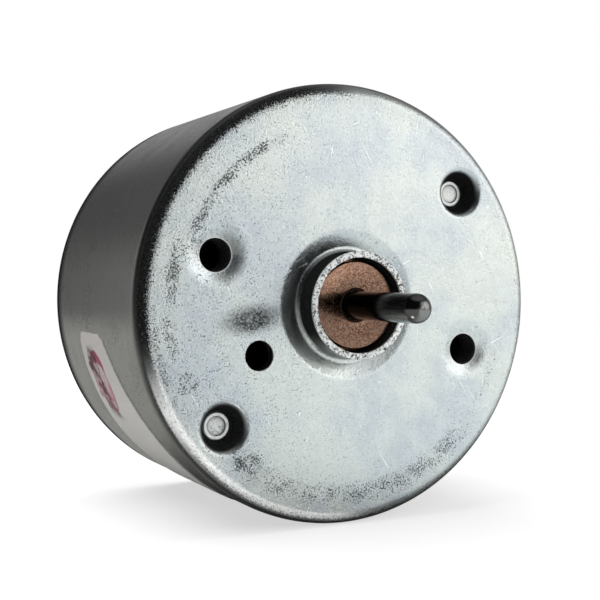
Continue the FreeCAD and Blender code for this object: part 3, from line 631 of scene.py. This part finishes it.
# ---- the pieces ----
def screw_bore(radius, station, angle):
    """Turns the straight wall of a tapped hole into a cut thread that fades at both ends."""
    if radius != SCREW_RADIUS:
        return radius, station
    fade = min(1.0, max(0.0, (station - 0.55) / 0.35), max(0.0, (SCREW_DEPTH - 0.12 - station) / 0.2))
    phase = (station / THREAD_PITCH - angle / 360) % 1
    return radius + THREAD_DEPTH * fade * (1 - abs(2 * phase - 1)), station


LIPS = (20, 110, 200, 290)
LIP_HALF = 5.5
LIP_REACH = 0.9
LIP_DEPTH = 0.6
NOTCHES = (60, 300)
NOTCH_HALF = math.degrees(1.2 / 16.0)
NOTCH_DEPTH = 1.2
EDGE = 0.08                  # how far each side of an edge its next column stands, in degrees


def rear_edge(radius, station, angle):
    """Shapes the can's rear edge: staked lips reach in over the cover, and notches take its lugs."""
    if station < CAN_LENGTH - LIP_DEPTH - 1e-6:
        return radius, station
    near_lip = min(abs((angle - a + 180) % 360 - 180) for a in LIPS)
    lip = 1 - min(1.0, max(0.0, (near_lip - LIP_HALF) / 1.2))
    inner = CAN_RADIUS - CAN_WALL
    if radius < inner - 1e-6:
        radius = inner - (inner - radius) * (lip * lip * (3 - 2 * lip) * (LIP_REACH / 0.06 - 1) + 1)
    near_notch = min(abs((angle - a + 180) % 360 - 180) for a in NOTCHES)
    return radius, station - (NOTCH_DEPTH if near_notch <= NOTCH_HALF + 1e-6 else 0.0)


def make_can(material):
    """The drawn can: its side, its pressed and pierced face, and the collar round the bush."""
    edges = [a + side * (NOTCH_HALF + off) for a in NOTCHES for side in (-1, 1) for off in (0, EDGE)]
    around = circle_angles(CIRCLE_STEPS, edges)
    fine = circle_angles(FINE_STEPS)
    small = circle_angles(SMALL_STEPS)
    inner = CAN_RADIUS - CAN_WALL
    rear = CAN_LENGTH

    corner = arc((CAN_RADIUS - CAN_CORNER, CAN_CORNER), CAN_CORNER, -90, 0, 14)
    stations = [1.3, 2.2, 4, 7, 10, 13, 16]
    stations += [rear - 2.4, rear - 1.8, rear - 1.2, rear - 0.8, rear - LIP_DEPTH - 0.02]
    side = [(CAN_RADIUS, y) for y in stations]
    end = [(CAN_RADIUS, rear - 0.4)] + arc((CAN_RADIUS - 0.4, rear - 0.4), 0.4, 10, 90, 8)
    end += [(inner + 0.2, rear), (inner - 0.03, rear), (inner - 0.06, rear - 0.06),
            (inner - 0.06, rear - LIP_DEPTH + 0.04), (inner - 0.03, rear - LIP_DEPTH)]
    wall = [(inner, y) for y in (rear - LIP_DEPTH - 0.02, 16, 12, 8, 4)]
    fold = arc((inner - INNER_CORNER, CAN_WALL + INNER_CORNER), INNER_CORNER, 0, -90, 6)
    shells = [lathe(corner + side + end + wall + fold, around, shape=rear_edge)]

    slope = [(RECESS_RADIUS + 0.3, 0), (RECESS_RADIUS, 0), (RECESS_RADIUS - RECESS_SLOPE, RECESS_DEPTH),
             (COLLAR_RADIUS, RECESS_DEPTH), (COLLAR_RADIUS, COLLAR_FRONT), (COLLAR_BORE, COLLAR_FRONT),
             (COLLAR_BORE, CAN_WALL + RECESS_DEPTH),
             (RECESS_RADIUS + CAN_WALL - RECESS_SLOPE, CAN_WALL + RECESS_DEPTH),
             (RECESS_RADIUS + CAN_WALL, CAN_WALL)]
    profile = rounded(slope, [0, 1.2, 0.5, COLLAR_FILLET, 0.05, 0.05, 0.1, 0, 0], closed=False, steps=8)
    shells.append(lathe(closer(profile, 0.06), fine, shape=torn_rim))

    holes = [(RECESS_RADIUS + 0.3, fine, CENTRE)]
    inner_holes = [(RECESS_RADIUS + CAN_WALL, fine, CENTRE)]
    for turn in (0, 180):
        centre = on_circle(SCREW_CIRCLE, SCREW_ANGLE + turn)
        bore_start = SCREW_DISH_DEPTH + 0.2
        mouth = rounded([(SCREW_DISH + 0.55, 0), (SCREW_DISH, 0), (SCREW_EDGE, SCREW_DISH_DEPTH),
                         (SCREW_RADIUS, bore_start), (SCREW_RADIUS, SCREW_DEPTH)], [0, 2.6, 0.07, 0.05, 0],
                        closed=False, steps=10)[:-1]
        mouth[-1] = (SCREW_RADIUS, mouth[-1][1])
        mouth = closer(mouth, 0.05)
        start = mouth[-1][1]
        bore = [(SCREW_RADIUS, start + (SCREW_DEPTH - 0.1 - start) * i / 48) for i in range(1, 49)]
        foot = rounded([(SCREW_RADIUS + 1e-4, SCREW_DEPTH), (SCREW_COLLAR, SCREW_DEPTH),
                        (SCREW_COLLAR, CAN_WALL)], [0, 0.1, 0], closed=False)
        shells.append(lathe(mouth + bore + foot, small, centre, shape=screw_bore))
        holes.append((mouth[0][0], small, centre))
        inner_holes.append((SCREW_COLLAR, small, centre))

        centre = on_circle(DIMPLE_CIRCLE, DIMPLE_ANGLE + turn)
        ring_top = DIMPLE_DEPTH - DIMPLE_RING_HEIGHT
        dent = rounded([(DIMPLE_MOUTH + DIMPLE_ROUNDING, 0), (DIMPLE_MOUTH, 0), (DIMPLE_FLOOR, DIMPLE_DEPTH),
                        (DIMPLE_RING_OUTER, DIMPLE_DEPTH), (DIMPLE_RING_OUTER - 0.03, ring_top),
                        (DIMPLE_RING_INNER + 0.05, ring_top),
                        (DIMPLE_RING_INNER, DIMPLE_DEPTH), (0.0, DIMPLE_DEPTH)],
                       [0, DIMPLE_ROUNDING, 0.09, 0.03, 0.05, 0.05, 0.03, 0], closed=False, steps=8)
        shells.append(lathe(dent, small, centre))
        back_radius, back_end = DIMPLE_MOUTH + CAN_WALL / 2, DIMPLE_DEPTH + CAN_WALL
        back = rounded([(back_radius, CAN_WALL), (back_radius, back_end), (0.0, back_end)], [0, 0.15, 0],
                       closed=False)
        shells.append(lathe(back, small, centre))
        holes.append((dent[0][0], small, centre))
        inner_holes.append((back[0][0], small, centre))

    centre = (LOCATING_X, LOCATING_Z)
    punched = rounded([(LOCATING_RADIUS + 0.08, 0), (LOCATING_RADIUS, 0), (LOCATING_RADIUS, CAN_WALL)],
                      [0, 0.06, 0], closed=False)
    shells.append(lathe(punched, small, centre))
    holes.append((LOCATING_RADIUS + 0.08, small, centre))
    inner_holes.append((LOCATING_RADIUS, small, centre))
    shells.append(flat_fill(0.0, (corner[0][0], around, CENTRE), holes, 0.7))
    shells.append(flat_fill(CAN_WALL, (fold[-1][0], around, CENTRE), inner_holes, 1.5))
    return piece("can", shells, "stator", material, ["motor_can"], soot=can_painted_shade)


def ramp(value, low, high):
    """0 at low, 1 at high, straight between them."""
    return min(1.0, max(0.0, (value - low) / (high - low)))


def can_painted_shade(p):
    """Painted shade in the holes, on the dimples' walls, round the collar and inside the can, a painted
    reflection of the collar on the recess, and darkening towards the can's rear edge.

    Below 0 is pale metal: bare on the collar's torn end, a painted highlight on the screw mouths' edges, and
    paler on the dimples' floors.
    """
    away = math.hypot(p.x, p.z)
    # painted shade inside the can, behind the face
    dark = ramp(p.y, CAN_WALL - 0.1, CAN_WALL) * 0.8 if away < CAN_RADIUS - CAN_WALL + 0.02 else 0.0
    # outside, darker towards the rear edge
    if away > CAN_RADIUS - CAN_WALL:
        outer = ramp(away, CAN_RADIUS - 0.45, CAN_RADIUS - 0.15)
        dark = 0.9 * ramp(p.y, CAN_LENGTH - 2.4, CAN_LENGTH - 0.6) * outer
    # painted reflection of the collar's dark wall: a faint crescent on the recess floor, on the side away
    # from the light
    if COLLAR_RADIUS + 0.22 < away < RECESS_RADIUS and 0.0 < p.y < 0.5:
        shaded = -(p.x * math.cos(math.radians(15)) + p.z * math.sin(math.radians(15))) / away
        dark = max(dark, 0.12 * ramp(shaded, 0.35, 0.75) * ramp(RECESS_RADIUS - away, 0.04, 0.2))
    # the collar's torn end is bare metal; painted shade fills its bore and darkens its outer wall, less at
    # the lower left
    if away < COLLAR_RADIUS + 0.06:
        if p.y < COLLAR_FRONT + 0.22:
            return -1.0 + ramp(p.y, COLLAR_FRONT + 0.1, COLLAR_FRONT + 0.22)
        if away < COLLAR_BORE + 0.04:
            dark = 1.0
        else:
            lower_left = ramp(-p.z, 0.3 * COLLAR_RADIUS, 0.8 * COLLAR_RADIUS)
            dark = (1.0 - 0.5 * lower_left) * ramp(p.y, 0.15, -0.05)
    for turn in (0, 180):
        centre = on_circle(SCREW_CIRCLE, SCREW_ANGLE + turn)
        out = math.hypot(p.x - centre[0], p.z - centre[1])
        # painted highlight: a pale ring on each screw mouth's edge, with painted shade down the hole below it
        if SCREW_EDGE - 0.03 < out < SCREW_EDGE + 0.035 and p.y < SCREW_DISH_DEPTH + 0.02:
            return -0.8
        if out < SCREW_EDGE + 0.02:
            dark = max(dark, ramp(p.y, SCREW_DISH_DEPTH, SCREW_DISH_DEPTH + 0.04))
        centre = on_circle(DIMPLE_CIRCLE, DIMPLE_ANGLE + turn)
        out = math.hypot(p.x - centre[0], p.z - centre[1])
        # a paler dimple floor, with painted shade in the crease at the foot of its ring; painted shade down
        # the dimple's wall, weaker in the second dimple
        if out < DIMPLE_RING_OUTER + 0.01 and DIMPLE_DEPTH - 0.2 < p.y < DIMPLE_DEPTH + 0.1:
            at_foot = p.y > DIMPLE_DEPTH - 0.03 and abs(out - DIMPLE_RING_INNER) < 0.03
            dark = 0.35 if at_foot else -0.65
        elif out < DIMPLE_MOUTH + DIMPLE_ROUNDING:
            dark = max(dark, ramp(p.y, 0.0, 0.4) * (1.0 if turn == 0 else 0.85))
    # painted shade down the locating hole
    if math.hypot(p.x - LOCATING_X, p.z - LOCATING_Z) < LOCATING_RADIUS + 0.02:
        dark = max(dark, ramp(p.y, 0.05, 0.1))
    return dark


def bush_oil(p):
    """Painted shade: black in the bushes' mouths, round the shaft."""
    return ramp(math.hypot(p.x, p.z), SHAFT_RADIUS + MOUTH_SHADE_FADE[0], SHAFT_RADIUS + MOUTH_SHADE_FADE[1])


def torn_rim(radius, station, angle):
    """Roughens the sheared end of the bearing collar: small tears, deepest on its flat end."""
    depth = (COLLAR_FRONT + 0.16 - station) / 0.16
    if depth <= 0 or radius > COLLAR_RADIUS + 0.05:
        return radius, station
    turn = math.radians(angle)
    spot = Vector((radius * math.cos(turn), radius * math.sin(turn), 4.7))
    tear = noise.noise(spot * 9.0) * 0.6 + noise.noise(spot * 19.0) * 0.5
    chip = max(0.0, noise.noise(spot * 5.0 + Vector((9, 2, 5))) - 0.25)
    share = min(1.0, depth)
    side = noise.noise(Vector((math.cos(turn), math.sin(turn), 1.0)) * 22.0 + Vector((radius * 3, 0, 0)))
    return radius + share * 0.025 * side, station + share * max(0.0, 0.045 * tear + 0.12 * chip + 0.02)


def make_bush(name, material):
    """A bronze bush with softened edges, sized from its CAD node."""
    low, high = box_mm(name)
    bore = SHAFT_RADIUS + BUSH_GAP
    mouth = bore + BUSH_CHAMFER
    chamfers = [(bore, high.y - BUSH_CHAMFER), (bore, low.y + BUSH_CHAMFER)]
    if name == "front_bearing":
        outline = [(mouth, low.y), (NOSE_RADIUS, low.y), (NOSE_RADIUS, NOSE_BACK), (high.x, NOSE_BACK),
                   (high.x, high.y), (mouth, high.y)] + chamfers
        radii = [0.02, 0.06, 0.03, 0.08, 0.12, 0.02, 0.02, 0.02]
    else:
        outline = [(mouth, low.y), (high.x, low.y), (high.x, high.y), (mouth, high.y)] + chamfers
        radii = [0.02, 0.12, 0.12, 0.02, 0.02, 0.02]
    shell = lathe(rounded(outline, radii), circle_angles(240), closed=True)
    return piece(name.replace("bearing", "bush"), [shell], "stator", material, [name],
                 soot=bush_oil)


def make_shaft(material):
    """The shaft, with rounded ends and its oil groove."""
    front, rear = shaft_low.y, shaft_high.y
    groove = SHAFT_RADIUS - OIL_GROOVE_DEPTH
    outline = [(0, front), (SHAFT_RADIUS, front), (SHAFT_RADIUS, OIL_GROOVE_FRONT),
               (groove, OIL_GROOVE_FRONT), (groove, OIL_GROOVE_BACK), (SHAFT_RADIUS, OIL_GROOVE_BACK),
               (SHAFT_RADIUS, rear), (0, rear)]
    radii = [0, SHAFT_FRONT_ROUNDING, 0.02, 0.04, 0.04, 0.02, SHAFT_REAR_ROUNDING, 0]
    shell = lathe(rounded(outline, radii, closed=False, steps=18), circle_angles(192))
    return piece("shaft_bar", [shell], "rotor", material, ["shaft"])


# the stamp's middle and half sizes on the sticker: round the can, then along it
STAMP_PLACE = (4.05, 11.3)
STAMP_RADII = (2.5, 1.95)


def label_outline():
    """The sticker's edge in (distance round the can below its top edge, station), in millimetres."""
    front = [(0.0, 9.6), (0.35, 8.5), (1.3, 7.75), (2.5, 7.05), (5.0, 5.75), (7.5, 4.9), (10.0, 4.75),
             (12.5, 5.1), (16.0, 6.0)]
    return front + [(16.6, 6.6), (16.8, 7.6), (16.8, 13.0), (16.2, 14.0), (0.7, 14.3), (0.0, 13.8)]


def make_label(material):
    """Paper sticker pressed on the can: a thin closed sheet that follows the side."""
    edge = [Vector(p) for p in label_outline()]
    fine = []
    for one, two in zip(edge, edge[1:] + edge[:1]):
        steps = max(1, round((two - one).length / LABEL_GRID))
        fine += [one.lerp(two, k / steps) for k in range(steps)]
    count = len(fine)
    inside = [Vector((i * LABEL_GRID, 4.9 + j * LABEL_GRID)) for i in range(1, 42) for j in range(24)]
    made, _, triangles, *_ = geometry.delaunay_2d_cdt(
        fine + inside, [(i, (i + 1) % count) for i in range(count)], [], 1, 1e-6)
    base = CAN_RADIUS + LABEL_LIFT

    def on_can(p, lift):
        turn = math.radians(LABEL_TOP) + p.x / CAN_RADIUS
        return ((base + lift) * math.cos(turn), p.y, (base + lift) * math.sin(turn))

    points = [on_can(p, LABEL_THICKNESS) for p in made] + [on_can(p, 0) for p in made]
    total = len(made)
    faces = [list(f) for f in triangles] + [[i + total for i in reversed(f)] for f in triangles]
    border = {}
    for f in triangles:
        for a, b in zip(f, f[1:] + f[:1]):
            border[(a, b)] = border.get((a, b), 0) + 1
    faces += [[b, a, a + total, b + total] for a, b in border if (b, a) not in border]
    label = piece("sticker", [(points, faces)], "stator", material, ["inspection_label"],
                  sharp=40)
    layer = label.data.uv_layers.new(name="paper")
    for polygon in label.data.polygons:
        for index in polygon.loop_indices:
            co = label.data.vertices[label.data.loops[index].vertex_index].co / MM
            round_can = (math.atan2(co.z, co.x) - math.radians(LABEL_TOP)) % (2 * math.pi) * CAN_RADIUS
            layer.data[index].uv = (round_can, co.y)
    return label


def paint(material, *nodes):
    """Gives CAD nodes their material."""
    for node in nodes:
        shown = frame["nodes"][node]
        shown.data.materials.clear()
        shown.data.materials.append(material)


def disc(name, radius, height, material):
    """A flat round sheet of the stage, in metres, centred under the motor."""
    points, faces = lathe([(0.0, height / MM), (radius / MM, height / MM)], circle_angles(96))
    mesh = bpy.data.meshes.new(name)
    mesh.from_pydata([(p[0] * MM, -p[2] * MM, p[1] * MM) for p in points], [], faces)
    made = bpy.data.objects.new(name, mesh)
    bpy.context.scene.collection.objects.link(made)
    made.data.materials.append(material)
    return made


def make_stage():
    """A pale floor that fades out, and a plain white surround below it that only the camera sees.

    The floor has its own tones for each kind of ray. To the camera it glows a little, so its shadow is faint.
    In the metal it is paler in front on the right, with one bright spot. Other rays see plain pale paint.
    """
    s = Shade("floor_paint", Specular_IOR_Level=0.15, Roughness=0.75)
    tone = s.noise(0.05, 2.0, 0.5)
    x, y = s.axis(s.place, "X"), s.axis(s.place, "Y")
    ray = s.node("ShaderNodeLightPath", {})
    camera_ray, glossy_ray = ray.outputs["Is Camera Ray"], ray.outputs["Is Glossy Ray"]
    front_right = s.times(s.step(y, 0.0, -8.0), s.step(x, -7.0, 6.0))
    colour = s.mix(glossy_ray, s.mix(tone, *FLOOR_LIT), s.mix(front_right, *FLOOR_MIRRORED))
    colour = s.mix(camera_ray, colour, FLOOR_SHOWN)
    off = s.length(s.minus(x, GLEAM_PLACE[0]), s.minus(y, GLEAM_PLACE[1]))
    gleam = s.times(glossy_ray, s.step(off, 4.5, 1.5, 0.0, GLEAM_STRENGTH))
    s.shader.inputs["Emission Color"].default_value = (1.0, 1.0, 1.0, 1.0)
    s.use(Base_Color=colour, Emission_Strength=s.plus(s.times(camera_ray, FLOOR_GLOW), gleam),
          Alpha=s.step(s.length(x, y), FLOOR_SOLID, FLOOR_GONE, 1.0, 0.0))
    disc("floor", FLOOR_GONE * MM, can_low.z * MM - 0.00002, s.material)
    surround = bpy.data.materials.new("surround")
    surround.use_nodes = True
    tree = surround.node_tree
    tree.nodes.clear()
    glow = add_node(tree, "ShaderNodeEmission", {"Color": BACKDROP}).outputs[0]
    add_node(tree, "ShaderNodeOutputMaterial", {"Surface": glow})
    ground = disc("surround", 40.0, can_low.z * MM - 0.001, surround)
    ground.visible_diffuse = False
    ground.visible_glossy = False
    ground.visible_transmission = False
    ground.visible_shadow = False


def make_world():
    """Studio surroundings as soft patches of light in given directions."""
    world = bpy.data.worlds.new("studio")
    bpy.context.scene.world = world
    world.use_nodes = True
    tree = world.node_tree
    tree.nodes.clear()

    def node(kind, inputs, **settings):
        return add_node(tree, kind, inputs, **settings)

    way = node("ShaderNodeTexCoord", {}).outputs["Generated"]
    total = None
    for azimuth, height, core, edge, colour, strength in PATCHES:
        a, e = math.radians(azimuth), math.radians(height)
        aim = (math.sin(a) * math.cos(e), -math.cos(a) * math.cos(e), math.sin(e))
        dot = node("ShaderNodeVectorMath", {0: way, 1: aim}, operation="DOT_PRODUCT").outputs["Value"]
        share = node("ShaderNodeMapRange", {"Value": dot, "From Min": math.cos(math.radians(edge)),
                                            "From Max": math.cos(math.radians(core))},
                     interpolation_type="SMOOTHSTEP").outputs["Result"]
        light = node("ShaderNodeVectorMath", {0: tuple(c * strength for c in colour), "Scale": share},
                     operation="SCALE").outputs["Vector"]
        total = light if total is None else node("ShaderNodeVectorMath", {0: total, 1: light},
                                                 operation="ADD").outputs["Vector"]
    total = node("ShaderNodeVectorMath", {0: total, 1: AMBIENT}, operation="ADD").outputs["Vector"]
    seen = node("ShaderNodeBackground", {"Color": BACKDROP, "Strength": 1.0}).outputs[0]
    lit = node("ShaderNodeBackground", {"Color": total, "Strength": 1.0}).outputs[0]
    straight = node("ShaderNodeLightPath", {}).outputs["Is Camera Ray"]
    both = node("ShaderNodeMixShader", {0: straight, 1: lit, 2: seen}).outputs[0]
    node("ShaderNodeOutputWorld", {"Surface": both})


# azimuth and height of the direction and full and faded half-angles in degrees, colour, strength.
# Azimuth 0 is straight in front of the motor's face, and 90 is to its right.
PATCHES = (
    (57, 15, 9, 30, (1.0, 0.98, 0.95), 2.0),       # soft box in front, to the right
    (24, -10, 12, 34, (0.96, 0.985, 1.0), 0.72),   # a paler one, lower and nearer the camera
    (30, 26, 6, 24, (0.97, 0.99, 1.0), 1.0),       # light from above the camera
    (25, 4, 2.0, 6.0, (1.0, 1.0, 1.0), 2.4),       # the lamp that glints on the shaft's tip
    (156, 16, 6, 26, (1.0, 1.0, 1.0), 0.35),       # wall behind on the right
    (-146, -2, 8, 26, (1.0, 0.99, 0.97), 0.30),    # wall behind on the left
    (-160, 26, 6, 26, (1.0, 1.0, 1.0), 0.12),      # its upper part
    (-14, -14, 4, 20, (1.0, 1.0, 1.0), 0.25),      # faint fill beside the camera
    (90, 80, 20, 45, (1.0, 1.0, 1.0), 0.5),        # ceiling
    (105, 12, 12, 34, (1.0, 1.0, 1.0), 0.45),      # wall to the right
)
AMBIENT = (0.012, 0.013, 0.014)
BACKDROP = (1.0, 1.0, 1.0, 1.0)
# name, place and size in metres, power in watts
LAMPS = (
    ("overhead", (-0.12, 0.15, 0.55), 0.8, 5.6),
    ("front_fill", (-0.1, -0.5, 0.4), 0.5, 1.5),
)
# the floor's tones to diffuse rays, to mirror rays away from and in front on the right, and to the camera
FLOOR_LIT = ((0.85, 0.85, 0.845), (0.88, 0.88, 0.875))
FLOOR_MIRRORED = ((0.25, 0.25, 0.24), (0.78, 0.82, 0.84))
FLOOR_SHOWN = (0.36, 0.36, 0.36)
FLOOR_GLOW = 0.62
# where mirror rays see a bright spot on the floor, in millimetres, and how strong it is
GLEAM_PLACE = (-9.0, -11.0)
GLEAM_STRENGTH = 3.5
# millimetres from the middle at which the floor begins to fade and is gone
FLOOR_SOLID = 90.0
FLOOR_GONE = 300.0
# degrees, degrees, millimetres, millimetres, and the lens in millimetres
CAMERA_AZIMUTH = -26.45
CAMERA_HEIGHT = 1.488
CAMERA_DISTANCE = 87.15
CAMERA_AIM = (0.095, 8.0, 0.155)
CAMERA_LENS = 66.31


def make_camera():
    """The camera, aimed at a point in the motor from a direction and a distance."""
    a, e = math.radians(CAMERA_AZIMUTH), math.radians(CAMERA_HEIGHT)
    back = Vector((math.sin(a) * math.cos(e), -math.cos(a) * math.cos(e), math.sin(e)))
    data = bpy.data.cameras.new("camera")
    data.lens = CAMERA_LENS
    data.clip_start, data.clip_end = 0.002, 20.0
    camera = bpy.data.objects.new("camera", data)
    bpy.context.scene.collection.objects.link(camera)
    camera.location = (Vector(CAMERA_AIM) + back * CAMERA_DISTANCE) * MM
    camera.rotation_mode = "QUATERNION"
    camera.rotation_quaternion = (-back).to_track_quat("-Z", "Y")
    bpy.context.scene.camera = camera


def make_lights():
    """Soft overhead lamps that light the floor and the paper but stay out of the metal's reflections."""
    for name, place, size, power in LAMPS:
        data = bpy.data.lights.new(name, "AREA")
        data.shape = "DISK"
        data.size = size
        data.energy = power
        lamp = bpy.data.objects.new(name, data)
        bpy.context.scene.collection.objects.link(lamp)
        lamp.location = place
        lamp.rotation_mode = "QUATERNION"
        lamp.rotation_quaternion = (-Vector(place)).to_track_quat("-Z", "Y")
        lamp.visible_glossy = False


def main():
    make_can(zinc_steel())
    sintered = bronze()
    make_bush("front_bearing", sintered)
    make_bush("rear_bearing", sintered)
    make_shaft(polished_steel())
    make_label(paper())
    paint(plastic("cover_plastic", (0.62, 0.60, 0.55), (0.56, 0.54, 0.49)), "rear_cover")
    paint(plastic("thrust_plastic", (0.70, 0.66, 0.56), (0.62, 0.58, 0.48)),
          "thrust_plate", "spacer_sleeve", "commutator_ring")
    paint(metal("terminal_brass", (0.80, 0.66, 0.38), (0.62, 0.48, 0.24), 0.3, (9.0, 0.6, 9.0)),
          "terminal_positive", "terminal_negative")
    paint(metal("brush_alloy", (0.82, 0.62, 0.42), (0.62, 0.42, 0.26), 0.24, (9.0, 9.0, 0.6)),
          "brush_positive", "brush_negative")
    paint(rubbery("damper_rubber", (0.05, 0.05, 0.05), (0.02, 0.02, 0.02)),
          "brush_damper_positive", "brush_damper_negative")
    paint(rubbery("ferrite_rubber", (0.07, 0.07, 0.075), (0.025, 0.025, 0.028), 0.7), "magnet_ring")
    paint(metal("core_steel", (0.42, 0.43, 0.45), (0.22, 0.23, 0.25), 0.4), "laminations")
    paint(plastic("insulator_plastic", (0.06, 0.16, 0.34), (0.04, 0.12, 0.27), 0.38),
          "front_insulator", "rear_insulator")
    paint(metal("winding_copper", (0.50, 0.21, 0.08), (0.30, 0.11, 0.04), 0.28),
          "winding_1", "winding_2", "winding_3")
    paint(plastic("barrel_plastic", (0.035, 0.03, 0.028), (0.02, 0.018, 0.016), 0.4), "commutator_barrel")
    paint(metal("segment_copper", (0.86, 0.50, 0.33), (0.62, 0.32, 0.20), 0.22, (0.6, 14.0, 0.6)),
          "commutator_segment_1", "commutator_segment_2", "commutator_segment_3")
    paint(rubbery("varistor_ceramic", (0.10, 0.10, 0.09), (0.05, 0.05, 0.045), 0.6), "ring_varistor")
    paint(metal("solder", (0.72, 0.73, 0.74), (0.50, 0.51, 0.53), 0.25, (2.0, 2.0, 2.0)), "solder_joints")
    paint(plastic("washer_plastic", (0.60, 0.52, 0.32), (0.52, 0.44, 0.25), 0.4),
          "front_washer", "rear_washer")
    make_stage()
    make_world()
    make_lights()
    make_camera()
    bpy.context.scene.view_settings.view_transform = "Standard"


main()
